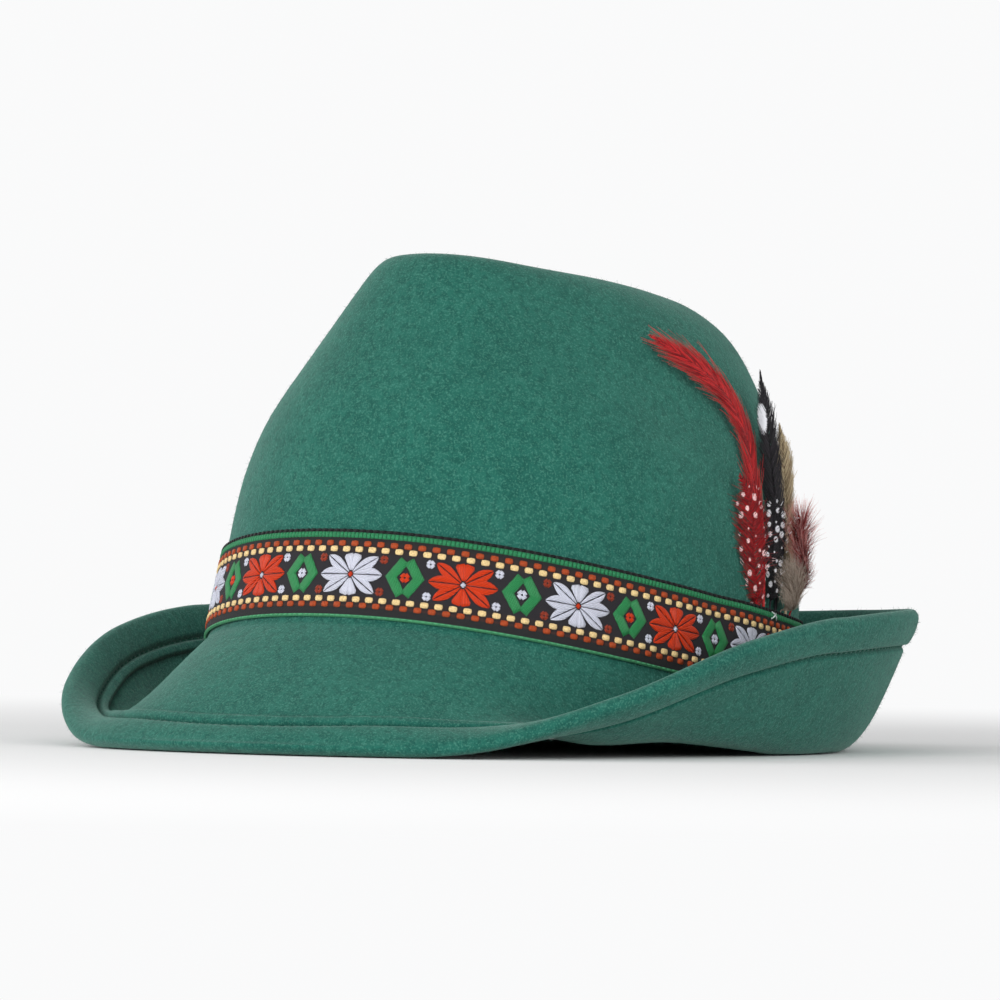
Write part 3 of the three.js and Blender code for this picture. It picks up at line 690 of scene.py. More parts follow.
def tulip(pads, centre, up):
    """The broad petal above or below the middle, with its two points."""
    for bend in (-1, 1):
        shares = np.linspace(FLOWER_EYE + 0.25, 6.3, 7)
        lean = bend * (0.12 + 0.27 * (shares - FLOWER_EYE))
        spine = np.array(centre) + np.stack([lean, up * shares], axis=-1)
        widths = 0.35 + 2.9 * np.clip((shares - FLOWER_EYE) / 4.6, 0, 1) ** 0.9
        widths[-1] *= 0.72
        strip_pad(pads, spine, widths, SATIN_HEIGHT)


def square(pads, centre, size, bar):
    """A small square stood on its corner, made of four short bars round a dark dot."""
    corners = [np.array(centre) + np.array(c) * size / 2 for c in ((1, 0), (0, 1), (-1, 0), (0, -1))]
    for a, b in zip(corners, corners[1:] + corners[:1]):
        spine = np.linspace(a * 0.96 + b * 0.04, a * 0.04 + b * 0.96, 4)
        strip_pad(pads, spine, [bar] * 4, SATIN_HEIGHT * 0.8, 4)


def diamond(pads, centre):
    """A green ring of two thick chevrons that fills the height between the borders."""
    wide, tall, bar, mitre = 4.35, 5.35, 3.1, 1.22
    for side in (-1, 1):
        corner, ends = np.array((side * wide, 0.0)), np.array(((side * 0.7, tall), (side * 0.7, -tall)))
        arm = np.linspace(0, 1, 6)[:, None]
        spine = np.concatenate([ends[0] * (1 - arm) + corner * arm, (corner * (1 - arm) + ends[1] * arm)[1:]])
        widths = np.full(11, bar)
        widths[5] *= mitre
        strip_pad(pads, np.array(centre) + spine, widths, SATIN_HEIGHT)


def motifs():
    colours = {name: Pads() for name in ("white", "red", "green", "rust")}
    for k in FLOWER_STEPS:
        middle = np.array((FIRST_FLOWER + MOTIF_PITCH * k, MOTIF_MIDDLE))
        petals, eye, corner = ("white", "red", "rust") if k % 2 == 0 else ("red", "white", "white")
        for tip, width, widest in PETALS:
            for bend in (-1, 1):
                petal(colours[petals], middle, tip, width, widest, bend)
        for up in (-1, 1):
            tulip(colours[petals], middle, up)
        for way in ((1, 0), (0, 1)):
            arm = np.array(way) * 0.75
            strip_pad(colours[eye], [middle - arm, middle, middle + arm], [0.75] * 3, SATIN_HEIGHT * 1.1, 4)
        for x in (-10.6, 10.6):
            for y in (-5.0, 5.0):
                square(colours[corner], middle + np.array((x, y)), 2.2, 1.0)
        if k != FLOWER_STEPS[-1]:
            between = middle + np.array((MOTIF_PITCH / 2, 0))
            diamond(colours["green"], between)
            inner = "red" if k % 2 == 0 else "white"
            square(colours[inner], between, 2.5, 1.15)
    return {name: pads.piece("ribbon_threads_" + name) for name, pads in colours.items()}


threads = motifs()
for name, piece in threads.items():
    print("thread", name, "faces:", len(piece.data.polygons))

# %% [markdown]
# Rows of small stitches follow a line: the checks and the picot dashes of the ribbon, and the
# stitches that hold the hem. Geometry Nodes place them. The line carries the direction that
# faces away from the cloth, so each stitch lies flat on it.

# %% Rows of stitches
FLOAT, COLOUR, VECTOR = "NodeSocketFloat", "NodeSocketColor", "NodeSocketVector"


def wire(group, links):
    for source, target in links:
        group.links.new(source, target)


def join(group, *links):
    """Each link names a node and its output, then a node and its input."""
    for source, output, target, socket in links:
        group.links.new(source.outputs[output], target.inputs[socket])


def geometry_group(name, inputs):
    """A node group that takes a mesh and named values, and gives a mesh back."""
    group = bpy.data.node_groups.new(name, "GeometryNodeTree")
    group.interface.new_socket("Geometry", in_out="INPUT", socket_type="NodeSocketGeometry")
    for label, kind, value in inputs:
        group.interface.new_socket(label, in_out="INPUT", socket_type=kind).default_value = value
    group.interface.new_socket("Geometry", in_out="OUTPUT", socket_type="NodeSocketGeometry")
    return group, group.nodes.new("NodeGroupInput"), group.nodes.new("NodeGroupOutput")


STITCH_LEVEL = 1
STITCH_CREASE = 0.65


def stitch_rows(name, pitch, size, material):
    """A node group that turns lines into rows of rounded stitches."""
    group, source, end = geometry_group(name, [("Pitch", FLOAT, pitch), ("Size", VECTOR, size)])
    node = group.nodes.new
    curve, spaced = node("GeometryNodeMeshToCurve"), node("GeometryNodeResampleCurve")
    spaced.mode = "LENGTH"
    along, outward = node("GeometryNodeInputTangent"), node("GeometryNodeInputNamedAttribute")
    outward.data_type = "FLOAT_VECTOR"
    outward.inputs["Name"].default_value = "outward"
    turn, roll = node("FunctionNodeAlignRotationToVector"), node("FunctionNodeAlignRotationToVector")
    turn.axis, roll.axis, roll.pivot_axis = "X", "Z", "X"
    stitch, rounded = node("GeometryNodeMeshCube"), node("GeometryNodeSubdivisionSurface")
    rounded.inputs["Level"].default_value = STITCH_LEVEL
    rounded.inputs["Edge Crease"].default_value = STITCH_CREASE
    smooth, place = node("GeometryNodeSetShadeSmooth"), node("GeometryNodeInstanceOnPoints")
    real, paint = node("GeometryNodeRealizeInstances"), node("GeometryNodeSetMaterial")
    paint.inputs["Material"].default_value = material
    join(group, (source, "Geometry", curve, "Mesh"), (curve, "Curve", spaced, "Curve"),
         (source, "Pitch", spaced, "Length"), (source, "Size", stitch, "Size"),
         (stitch, "Mesh", rounded, "Mesh"), (rounded, "Mesh", smooth, "Geometry"),
         (smooth, "Geometry", place, "Instance"), (spaced, "Curve", place, "Points"),
         (along, "Tangent", turn, "Vector"), (outward, "Attribute", roll, "Vector"),
         (turn, "Rotation", roll, "Rotation"), (roll, "Rotation", place, "Rotation"),
         (place, "Instances", real, "Geometry"), (real, "Geometry", paint, "Geometry"),
         (paint, "Geometry", end, "Geometry"))
    return group


def set_inputs(modifier, **values):
    for item in modifier.node_group.interface.items_tree:
        if item.item_type == "SOCKET" and item.in_out == "INPUT" and item.name in values:
            modifier[item.identifier] = values[item.name]


def made_plain(host, name, group, **values):
    """Runs the node group on the host and keeps its result as a plain mesh."""
    modifier = host.modifiers.new(name, "NODES")
    modifier.node_group = group
    set_inputs(modifier, **values)
    bpy.context.view_layer.update()
    seen = host.evaluated_get(bpy.context.evaluated_depsgraph_get())
    mesh = bpy.data.meshes.new_from_object(seen)
    mesh.name = name
    host.modifiers.remove(modifier)
    print(name, "faces:", len(mesh.polygons))
    return placed(name, mesh)


def lines_host(lines):
    """A mesh of closed lines; each line is its places and its outward directions."""
    corners = np.concatenate([places for places, _ in lines])
    edges, start = [], 0
    for places, _ in lines:
        n = len(places)
        edges += [(start + i, start + (i + 1) % n) for i in range(n)]
        start += n
    mesh = bpy.data.meshes.new("lines")
    mesh.from_pydata([tuple(c) for c in corners.tolist()], edges, [])
    keep_values(mesh, "outward", np.concatenate([outward for _, outward in lines]))
    return placed("lines", mesh)


def sewn(name, lines, pitch, size, material):
    """Rows of stitches along closed lines, with their pitch and size in millimetres."""
    host = lines_host(lines)
    size = [s * MM for s in size]
    group = stitch_rows(name + "_rows", pitch * MM, size, material)
    piece = made_plain(host, name, group, Pitch=pitch * MM, Size=size)
    bpy.data.objects.remove(host)
    return piece


def ribbon_line(across, out, shift):
    """A closed line round the ribbon at a height across it, which starts at a shift along it."""
    turns = np.linspace(-math.pi, math.pi, 721)[:-1]
    turns = turns + shift / (RIBBON_END - RIBBON_START) * 2 * math.pi
    turns = np.mod(turns + math.pi, 2 * math.pi) - math.pi
    places, normals = ribbon_surface(turns, np.full_like(turns, across), out)
    return to_rest(places), directions_to_rest(normals)


# %% [markdown]
# Materials. A finish that several materials share is a node group: the mottled tone of felt,
# the shine lines of satin thread and the streaks of feather barbs. The shader itself stays
# in the material.

# %% Material helpers
def srgb(r, g, b):
    channels = [c / 255 for c in (r, g, b)]
    return tuple(c / 12.92 if c <= 0.04045 else ((c + 0.055) / 1.055) ** 2.4 for c in channels) + (1.0,)


def shader_group(name, inputs, outputs):
    group = bpy.data.node_groups.new(name, "ShaderNodeTree")
    for label, kind, value in inputs:
        made = group.interface.new_socket(label, in_out="INPUT", socket_type=kind)
        if value is not None:
            made.default_value = value
    for label, kind in outputs:
        group.interface.new_socket(label, in_out="OUTPUT", socket_type=kind)
    return group, group.nodes.new("NodeGroupInput"), group.nodes.new("NodeGroupOutput")


def noise(group, vector, scale, detail=4.0, rough=0.6):
    made = group.nodes.new("ShaderNodeTexNoise")
    made.inputs["Scale"].default_value = scale
    made.inputs["Detail"].default_value = detail
    made.inputs["Roughness"].default_value = rough
    group.links.new(vector, made.inputs["Vector"])
    return made.outputs["Fac"]


def ranged(group, value, low, high, to_low=0.0, to_high=1.0):
    made = group.nodes.new("ShaderNodeMapRange")
    made.interpolation_type = "SMOOTHSTEP"
    for socket, number in zip(("From Min", "From Max", "To Min", "To Max"), (low, high, to_low, to_high)):
        made.inputs[socket].default_value = number
    group.links.new(value, made.inputs["Value"])
    return made.outputs["Result"]


def math_node(group, operation, *values):
    made = group.nodes.new("ShaderNodeMath")
    made.operation = operation
    for socket, value in zip(made.inputs, values):
        if isinstance(value, (int, float)):
            socket.default_value = value
        else:
            group.links.new(value, socket)
    return made.outputs[0]


def xyz(group, vector):
    """The outputs X, Y and Z of a vector."""
    made = group.nodes.new("ShaderNodeSeparateXYZ")
    group.links.new(vector, made.inputs[0])
    return made.outputs


def mixed(group, factor, first, second, blend="MIX"):
    made = group.nodes.new("ShaderNodeMix")
    made.data_type, made.blend_type = "RGBA", blend
    for socket, value in ((made.inputs[0], factor), (made.inputs[6], first), (made.inputs[7], second)):
        if isinstance(value, (int, float, tuple)):
            socket.default_value = value
        else:
            group.links.new(value, socket)
    return made.outputs[2]


def new_material(name, roughness, **constants):
    material = bpy.data.materials.new(name)
    material.use_nodes = True
    shader = material.node_tree.nodes["Principled BSDF"]
    shader.inputs["Roughness"].default_value = roughness
    for label, value in constants.items():
        shader.inputs[label.replace("_", " ")].default_value = value
    return material, material.node_tree, shader


def use_group(tree, group, **values):
    made = tree.nodes.new("ShaderNodeGroup")
    made.node_tree = group
    for label, value in values.items():
        socket = made.inputs[label.replace("_", " ")]
        if isinstance(value, (int, float, tuple)):
            socket.default_value = value
        else:
            tree.links.new(value, socket)
    return made


def attribute(tree, name):
    made = tree.nodes.new("ShaderNodeAttribute")
    made.attribute_name = name
    return made


def uv_of(tree, name):
    made = tree.nodes.new("ShaderNodeUVMap")
    made.uv_map = name
    return made.outputs["UV"]


def bumped(tree, shader, height, distance, strength=1.0):
    made = tree.nodes.new("ShaderNodeBump")
    made.inputs["Distance"].default_value = distance
    made.inputs["Strength"].default_value = strength
    tree.links.new(height, made.inputs["Height"])
    tree.links.new(made.outputs["Normal"], shader.inputs["Normal"])


# %% [markdown]
# Wool felt has no weave. Its tone is clouded where the wool lies thicker, mottled by clumps
# of fibre and flecked by single light ones. A picture of felt would show its repeats, so
# three noises of different scale do it, each at the size of the thing that it stands for.

# %% Felt tone
def felt_tone_group():
    group, source, end = shader_group(
        "felt_tone",
        [("Place", VECTOR, None), ("Tone", COLOUR, srgb(60, 119, 107)), ("Deep", COLOUR, srgb(44, 98, 86)),
         ("Light", COLOUR, srgb(86, 146, 130))],
        [("Color", COLOUR), ("Height", FLOAT)])
    place = source.outputs["Place"]
    cloud = noise(group, place, 55.0, 2.0)
    mottle = noise(group, place, 420.0, 4.0, 0.65)
    grain = noise(group, place, 1500.0, 3.0, 0.7)
    tone, deep, light = (source.outputs[key] for key in ("Tone", "Deep", "Light"))
    tone = mixed(group, ranged(group, cloud, 0.35, 0.65, 0.0, 0.35), tone, deep)
    tone = mixed(group, ranged(group, mottle, 0.36, 0.58, 0.7, 0.0), tone, deep)
    tone = mixed(group, ranged(group, grain, 0.48, 0.68, 0.0, 0.62), tone, light)
    height = math_node(group, "MULTIPLY_ADD", mottle, 0.6, math_node(group, "MULTIPLY", grain, 0.5))
    wire(group, [(tone, end.inputs["Color"]), (height, end.inputs["Height"])])
    return group


FELT_TONE = felt_tone_group()


def felt_material(name, tone, deep, light, bump=0.0006):
    material, tree, shader = new_material(name, 0.96, Sheen_Weight=0.3, Sheen_Roughness=0.45,
                                          Sheen_Tint=srgb(185, 215, 205), Specular_IOR_Level=0.12)
    place = tree.nodes.new("ShaderNodeTexCoord").outputs["Object"]
    made = use_group(tree, FELT_TONE, Place=place, Tone=tone, Deep=deep, Light=light)
    # Painted shade: the felt darkens by the mask kept on its corners, in the hem's groove and beside its cut
    # edge.
    dark = mixed(tree, 1.0, made.outputs["Color"], (0.34, 0.40, 0.40, 1.0), "MULTIPLY")
    hem_shaded = mixed(tree, attribute(tree, "painted_hem_shade").outputs["Fac"], made.outputs["Color"], dark)
    tree.links.new(hem_shaded, shader.inputs["Base Color"])
    bumped(tree, shader, made.outputs["Height"], bump, 0.7)
    return material


felt_green = felt_material("felt_green", srgb(32, 92, 80), srgb(17, 69, 61), srgb(72, 130, 114))
hem_thread = felt_material("hem_thread", srgb(36, 84, 72), srgb(26, 70, 60), srgb(56, 108, 93), 0.0002)
fuzz_green = felt_material("fuzz_green", srgb(58, 112, 98), srgb(44, 92, 80), srgb(84, 140, 122), 0.0001)

# %% [markdown]
# Satin thread shines in fine lines that run along each pad; the shade between the lines is painted
# into its colour. The ribbon's ground and its borders are bands by the height across the ribbon,
# under a fine weave whose raised crossings get a painted highlight.

# %% Thread and ribbon
def thread_group():
    group, source, end = shader_group(
        "satin_thread",
        [("Thread", VECTOR, None), ("Tone", COLOUR, srgb(200, 60, 30)), ("Pitch", FLOAT, 0.5),
         ("Shade", FLOAT, 0.6)],
        [("Color", COLOUR), ("Height", FLOAT)])
    flat = xyz(group, source.outputs["Thread"])
    lean = math_node(group, "ADD", flat["Y"], math_node(group, "MULTIPLY", flat["X"], 0.16))
    turns = math_node(group, "MULTIPLY", math_node(group, "DIVIDE", lean, source.outputs["Pitch"]), 2 * math.pi)
    line = math_node(group, "MULTIPLY_ADD", math_node(group, "SINE", turns), 0.5, 0.5)
    uneven = noise(group, source.outputs["Thread"], 1.7, 3.0)
    # Between the thread lines the colour darkens: painted shade, on the same lines as the bump.
    shade = math_node(group, "MULTIPLY", math_node(group, "SUBTRACT", 1.0, line), source.outputs["Shade"])
    dark = mixed(group, 1.0, source.outputs["Tone"], (0.32, 0.32, 0.32, 1.0), "MULTIPLY")
    tone = mixed(group, shade, source.outputs["Tone"], dark)
    tone = mixed(group, ranged(group, uneven, 0.3, 0.7, 0.28, 0.0), tone, dark)
    wire(group, [(tone, end.inputs["Color"]), (line, end.inputs["Height"])])
    return group


THREAD = thread_group()


def thread_material(name, tone):
    material, tree, shader = new_material(name, 0.5, Sheen_Weight=0.02, Specular_IOR_Level=0.28,
                                          Anisotropic=0.4)
    made = use_group(tree, THREAD, Thread=uv_of(tree, "thread_mm"), Tone=tone)
    tree.links.new(made.outputs["Color"], shader.inputs["Base Color"])
    bumped(tree, shader, made.outputs["Height"], 0.0003, 0.8)
    return material


def plain_thread(name, tone):
    """For stitches, whose thread lines come from their place."""
    material, tree, shader = new_material(name, 0.6, Sheen_Weight=0.02, Specular_IOR_Level=0.2)
    place = tree.nodes.new("ShaderNodeTexCoord").outputs["Object"]
    fleck = noise(tree, place, 2600.0, 2.0)
    shaded = mixed(tree, 1.0, tone, (0.45, 0.42, 0.42, 1.0), "MULTIPLY")
    flecked = mixed(tree, ranged(tree, fleck, 0.35, 0.6, 0.6, 0.0), tone, shaded)
    tree.links.new(flecked, shader.inputs["Base Color"])
    bumped(tree, shader, fleck, 0.0002, 0.6)
    return material


# Bands of the ribbon from its lower edge: upper limit in mm and colour
RIBBON_BANDS = (
    (0.8, srgb(52, 124, 84)), (3.3, srgb(14, 16, 18)), (3.9, srgb(46, 22, 18)), (6.5, srgb(28, 16, 17)),
    (20.3, srgb(20, 16, 23)), (23.6, srgb(28, 16, 17)), (24.6, srgb(9, 12, 12)), (26.4, srgb(16, 84, 52)),
    (27.5, srgb(12, 26, 22)),
)
WEAVE_PITCH = 0.62


def ribbon_material():
    material, tree, shader = new_material("ribbon_woven", 0.8, Sheen_Weight=0.03, Specular_IOR_Level=0.15)
    flat = xyz(tree, uv_of(tree, "ribbon_mm"))
    ramp = tree.nodes.new("ShaderNodeValToRGB")
    ramp.color_ramp.interpolation = "CONSTANT"
    stops = ramp.color_ramp.elements
    stops[0].position, stops[0].color = 0.0, RIBBON_BANDS[0][1]
    stops[1].position, stops[1].color = RIBBON_BANDS[0][0] / RIBBON_WIDTH, RIBBON_BANDS[1][1]
    for (limit, _), (_, tone) in zip(RIBBON_BANDS[1:], RIBBON_BANDS[2:]):
        stops.new(limit / RIBBON_WIDTH).color = tone
    tree.links.new(math_node(tree, "DIVIDE", flat["Y"], RIBBON_WIDTH), ramp.inputs["Fac"])
    warp, weft = (math_node(tree, "SINE", math_node(tree, "MULTIPLY", flat[key], 2 * math.pi / WEAVE_PITCH))
                  for key in ("X", "Y"))
    weave = math_node(tree, "MULTIPLY_ADD", math_node(tree, "MULTIPLY", warp, weft), 0.5, 0.5)
    # The weave's raised crossings are lightened in the colour: a painted highlight, on the same pattern as the
    # bump.
    light = mixed(tree, 1.0, ramp.outputs["Color"], (0.45, 0.45, 0.45, 1.0), "ADD")
    tone = mixed(tree, math_node(tree, "MULTIPLY", weave, 0.06), ramp.outputs["Color"], light)
    tree.links.new(tone, shader.inputs["Base Color"])
    bumped(tree, shader, weave, 0.0002, 0.7)
    return material


THREAD_TONES = {"white": srgb(228, 230, 246), "red": srgb(226, 60, 8), "green": srgb(46, 146, 84),
                "rust": srgb(158, 56, 30)}
for name, piece in threads.items():
    piece.data.materials.append(thread_material("thread_" + name, THREAD_TONES[name]))
ribbon.data.materials.append(ribbon_material())
felt.data.materials.append(felt_green)
cream_thread = plain_thread("thread_cream", srgb(224, 196, 140))
orange_thread = plain_thread("thread_orange", srgb(160, 66, 28))
edge_thread = plain_thread("thread_edge", srgb(74, 150, 104))
dark_thread = plain_thread("thread_black", srgb(10, 14, 15))
cord_thread = plain_thread("thread_cord", srgb(38, 122, 78))

# %% [markdown]
# Along both borders the real ribbon has floats of cream thread, with orange ones between
# them. Its upper edge is a green cord under dark picots, and its lower edge a fine green
# one. Each row is the same stitch at its own pitch and size, so one table holds them all.

# %% Checks, cord and picots of the ribbon
CHECK_PITCH = 4.45
# Piece, places across the ribbon, shift in pitches, pitch, size of a stitch, lift and thread
RIBBON_ROWS = (
    ("checks_cream", (5.65, 21.15), 0.0, CHECK_PITCH, (2.7, 1.9, 0.8), 0.04, cream_thread),
    ("checks_orange", (3.85, 22.95), 0.5, CHECK_PITCH, (2.55, 1.85, 0.8), 0.02, orange_thread),
    ("picot_dashes", (26.95,), 0.0, 2.3, (1.6, 1.0, 0.8), -0.08, dark_thread),
    ("edge_cord", (25.55,), 0.0, 1.35, (1.3, 1.85, 0.8), -0.06, cord_thread),
    ("edge_stitches", (0.55,), 0.0, 2.0, (1.5, 0.6, 0.5), -0.05, edge_thread),
)
ribbon_rows = []
for name, places, shift, pitch, size, lift, thread in RIBBON_ROWS:
    lines = [ribbon_line(across, lift, shift * pitch) for across in places]
    ribbon_rows.append(sewn(name, lines, pitch, size, thread))

# %% [markdown]
# The hem is held by long stitches that lie in the groove, on both faces of the brim.

# %% Hem stitches
HEM_PITCH = 3.2
HEM_STITCH = (2.3, 0.62, 0.55)
HEM_LIFT = 0.18


def hem_line(height, face):
    share = 1 - HEM_WIDTH / RUN
    point, beneath = brim_face(HEM_WIDTH + np.zeros_like(RUN), height)
    normals = brim_normal(TURNS, share) * face
    return to_rest(pressed(point, beneath)), directions_to_rest(normals)


hem_lines = [hem_line(hem_top(HEM_WIDTH) + HEM_LIFT, 1), hem_line(hem_under(HEM_WIDTH) - HEM_LIFT, -1)]
hem_stitches = sewn("hem_stitches", hem_lines, HEM_PITCH, HEM_STITCH, hem_thread)

# %% [markdown]
# Felt is never quite smooth: short fibres stand off it and soften its outline. Points are
# spread over the felt by a fixed seed, and a thin cone leans over at each.

# %% Fibres of the felt
FIBRE_COUNT = 30000
FIBRE_LENGTH = 1.7
FIBRE_RADIUS = 0.05
FIBRE_SEED = 11
FIBRE_LEAN = (1.25, 1.25, 3.1)  # most that a fibre turns to either side, in radians


def fibres(host, material):
    group, source, end = geometry_group(
        "felt_fibres", [("Density", FLOAT, 1.0), ("Length", FLOAT, 0.001), ("Seed", "NodeSocketInt", 1)])
    node = group.nodes.new
    spread, cone = node("GeometryNodeDistributePointsOnFaces"), node("GeometryNodeMeshCone")
    cone.inputs["Vertices"].default_value = 3
    cone.inputs["Radius Bottom"].default_value = FIBRE_RADIUS * MM
    lean, turn = node("FunctionNodeRandomValue"), node("FunctionNodeRotateRotation")
    lean.data_type, turn.rotation_space = "FLOAT_VECTOR", "LOCAL"
    lean.inputs["Min"].default_value = [-angle for angle in FIBRE_LEAN]
    lean.inputs["Max"].default_value = FIBRE_LEAN
    grow = node("FunctionNodeRandomValue")
    grow.inputs[2].default_value, grow.inputs[3].default_value = 0.4, 1.0
    place, real = node("GeometryNodeInstanceOnPoints"), node("GeometryNodeRealizeInstances")
    paint = node("GeometryNodeSetMaterial")
    paint.inputs["Material"].default_value = material
    join(group, (source, "Geometry", spread, "Mesh"), (source, "Density", spread, "Density"),
         (source, "Seed", spread, "Seed"), (source, "Seed", lean, "Seed"),
         (source, "Length", cone, "Depth"), (cone, "Mesh", place, "Instance"),
         (spread, "Points", place, "Points"), (spread, "Rotation", turn, "Rotation"),
         (lean, "Value", turn, "Rotate By"), (turn, "Rotation", place, "Rotation"),
         (grow, 1, place, "Scale"), (place, "Instances", real, "Geometry"),
         (real, "Geometry", paint, "Geometry"), (paint, "Geometry", end, "Geometry"))
    density = FIBRE_COUNT / sum(p.area for p in host.data.polygons)
    return made_plain(host, "felt_fuzz", group, Density=density, Length=FIBRE_LENGTH * MM, Seed=FIBRE_SEED)


felt_fuzz = fibres(felt, fuzz_green)

# %% [markdown]
# A feather is a shaft with barbs to both sides. Its path is given by turns and heights on
# the crown and a lift off it. A barb leaves the shaft at a slant and follows the feather's
# own curve, so its places are found in the feather's measure: along the shaft, across it
# and off it. Each barb keeps these places for the colours: spots, patches and streaks.

# %% Feather paths
FEATHER_STAND = 10.0
# Turn in degrees, height as a share of CROWN_HEIGHT, lift as a share of FEATHER_STAND, width
PATHS = {
    "hackle_red": [
        (97, .353, .14, .70), (95, .456, .15, .80), (94.2, .560, .20, .90), (93.6, .650, .29, 1.0),
        (90.5, .714, .42, 1.1), (87, .750, .52, 1.1), (82.5, .780, .56, 1.0), (77.5, .806, .50, .95),
        (71, .842, .34, .45)],
    "guinea_red": [
        (94.6, .255, .20, .45), (93, .298, .29, .85), (92, .349, .33, 1), (91.5, .420, .34, .95),
        (90.5, .490, .37, .75), (88.5, .538, .40, .35)],
    "feather_black": [
        (103.2, .320, .14, .50), (103, .380, .16, .75), (102, .475, .22, .90), (100.6, .570, .33, .90),
        (100.8, .646, .43, .80), (100.5, .716, .60, .65), (100, .762, .72, .50), (100, .806, .86, .26)],
    "feather_tan": [
        (108.4, .340, .14, .45), (108.2, .425, .19, .60), (106.6, .509, .29, .75),
        (105.6, .576, .41, .75), (105.4, .627, .52, .65), (104.8, .694, .68, .26)],
    "guinea_dark": [
        (99.2, .280, .25, .45), (98.2, .341, .32, .85), (98, .399, .36, .95), (98, .456, .42, .80),
        (98, .510, .52, .30)],
    "fluff_taupe": [
        (106.2, .242, .36, .30), (106.2, .260, .54, .75), (106, .284, .58, .95),
        (105.8, .308, .60, .80), (105.6, .330, .62, .30)],
    "fluff_red": [
        (110.6, .262, .26, .15), (110.8, .310, .44, .18), (109.2, .350, .66, .40),
        (106.4, .385, .76, .72), (104.8, .420, .84, .62), (104.4, .446, .92, .25)],
}
# Degrees by which a vane's rear edge turns off the crown
TWISTS = {"hackle_red": 20.0, "guinea_red": 28.0, "feather_black": 42.0, "feather_tan": 48.0,
          "guinea_dark": 38.0}
VANE_CLEAR = 0.35


class Spine:
    """The curve of a feather with the directions along, across and off it."""

    def __init__(self, name):
        foot, lift = RIBBON_RAISE + RIBBON_WIDTH, (CLEARANCE + QUILL_THICKNESS / 2) / FEATHER_STAND
        quill = [(QUILL_TURNS[name], h / CROWN_HEIGHT, lift, 0.0)
                 for h in (foot - QUILL_TUCK, foot - QUILL_TUCK / 2, foot + 1)]
        rows = np.array(quill + PATHS[name])
        on, off = on_wall(np.radians(rows[:, 0]), rows[:, 1] * CROWN_HEIGHT)
        points = on + off * (FEATHER_STAND * rows[:, 2])[:, None]
        knots = np.concatenate([[0], np.cumsum(np.linalg.norm(np.diff(points, axis=0), axis=1) ** 0.5)])
        at = np.linspace(0, knots[-1], 240)
        line = np.stack([through(knots, points[:, i], at) for i in range(3)], axis=-1)
        outs = unit(np.stack([np.interp(at, knots, off[:, i]) for i in range(3)], axis=-1))
        self.run = run_along(line)
        self.length, self.line = self.run[-1], line
        self.forward = unit(np.gradient(line, axis=0))
        side = unit(np.cross(outs, self.forward))
        out = np.cross(self.forward, side)
        self.vane = np.interp(at, knots, rows[:, 3])
        room = FEATHER_STAND * np.interp(at, knots, rows[:, 2]) - VANE_CLEAR
        steepest = np.arcsin(np.clip(room / np.maximum(3.5 * self.vane, 0.5), 0, 1))
        twist = np.minimum(math.radians(TWISTS.get(name, 0.0)), steepest)[:, None]
        self.side = side * np.cos(twist) - out * np.sin(twist)
        self.out = out * np.cos(twist) + side * np.sin(twist)
        self.start = float(np.interp(knots[3], at, self.run))

    def pick(self, values, s):
        return np.stack([np.interp(s, self.run, values[:, i]) for i in range(3)], axis=-1)

    def place(self, s, across, off):
        s = np.asarray(s, float)
        past = np.maximum(s - self.length, 0) + np.minimum(s, 0)
        centre = self.pick(self.line, s) + self.pick(self.forward, s) * past[..., None]
        return centre + self.pick(self.side, s) * across[..., None] + self.pick(self.out, s) * off[..., None]

    def width(self, s):
        return np.interp(s, self.run, self.vane)


SPINES = {name: Spine(name) for name in PATHS}
print("feather lengths in mm:", {name: round(float(s.length), 1) for name, s in SPINES.items()})


# %% [markdown]
# The barbs are what makes a feather look like one. Hair particles would give them, but they
# aren't a mesh. So each barb is a thin closed strand of three sides, and all strands of a
# feather are joined. Barbs grow shorter near the tip, where the vane closes.

# %% Barbs as thin closed strands
class Strands:
    """Collects tapered three-sided strands with their places in the feather's measure."""

    def __init__(self):
        self.corners, self.measure, self.tint, self.faces, self.count = [], [], [], [], 0

    def add(self, line, measure, radius, tint):
        n = len(line)
        forward = unit(np.gradient(line, axis=0))
        helper = np.array([0.3, 0.5, 0.81])
        first = unit(np.cross(forward, helper))
        second = np.cross(forward, first)
        for angle in (0.0, 2 * math.pi / 3, 4 * math.pi / 3):
            self.corners.append(line + (first * math.cos(angle) + second * math.sin(angle)) * radius[:, None])
            self.measure.append(measure)
            self.tint.append(np.full(n, tint))
        c = self.count
        for k in range(3):
            a, b = c + k * n, c + (k + 1) % 3 * n
            self.faces += [(a + i, b + i, b + i + 1, a + i + 1) for i in range(n - 1)]
        self.faces += [(c, c + 2 * n, c + n), (c + n - 1, c + 2 * n - 1, c + 3 * n - 1)]
        self.count += 3 * n

    def piece(self, name, material):
        made = new_piece(name, to_rest(np.concatenate(self.corners)), self.faces)
        keep_values(made.data, "vane_mm", np.concatenate(self.measure))
        keep_values(made.data, "tint", np.concatenate(self.tint))
        made.data.materials.append(material)
        print(name, "faces:", len(self.faces))
        return made


def shaft(strands, spine, thick):
    s = np.linspace(0, spine.length - 0.5, 60)
    radius = np.interp(s / spine.length, [0, 0.12, 0.3, 1], [thick / 0.7, 0.6, thick, 0.09])
    line = spine.place(s, np.zeros_like(s), np.zeros_like(s))
    strands.add(line, np.stack([s - spine.start, s * 0, s * 0], axis=-1), radius, 0.9)


# Share of a vane's length in which it closes to its tip
TIP_SHARE = 0.24


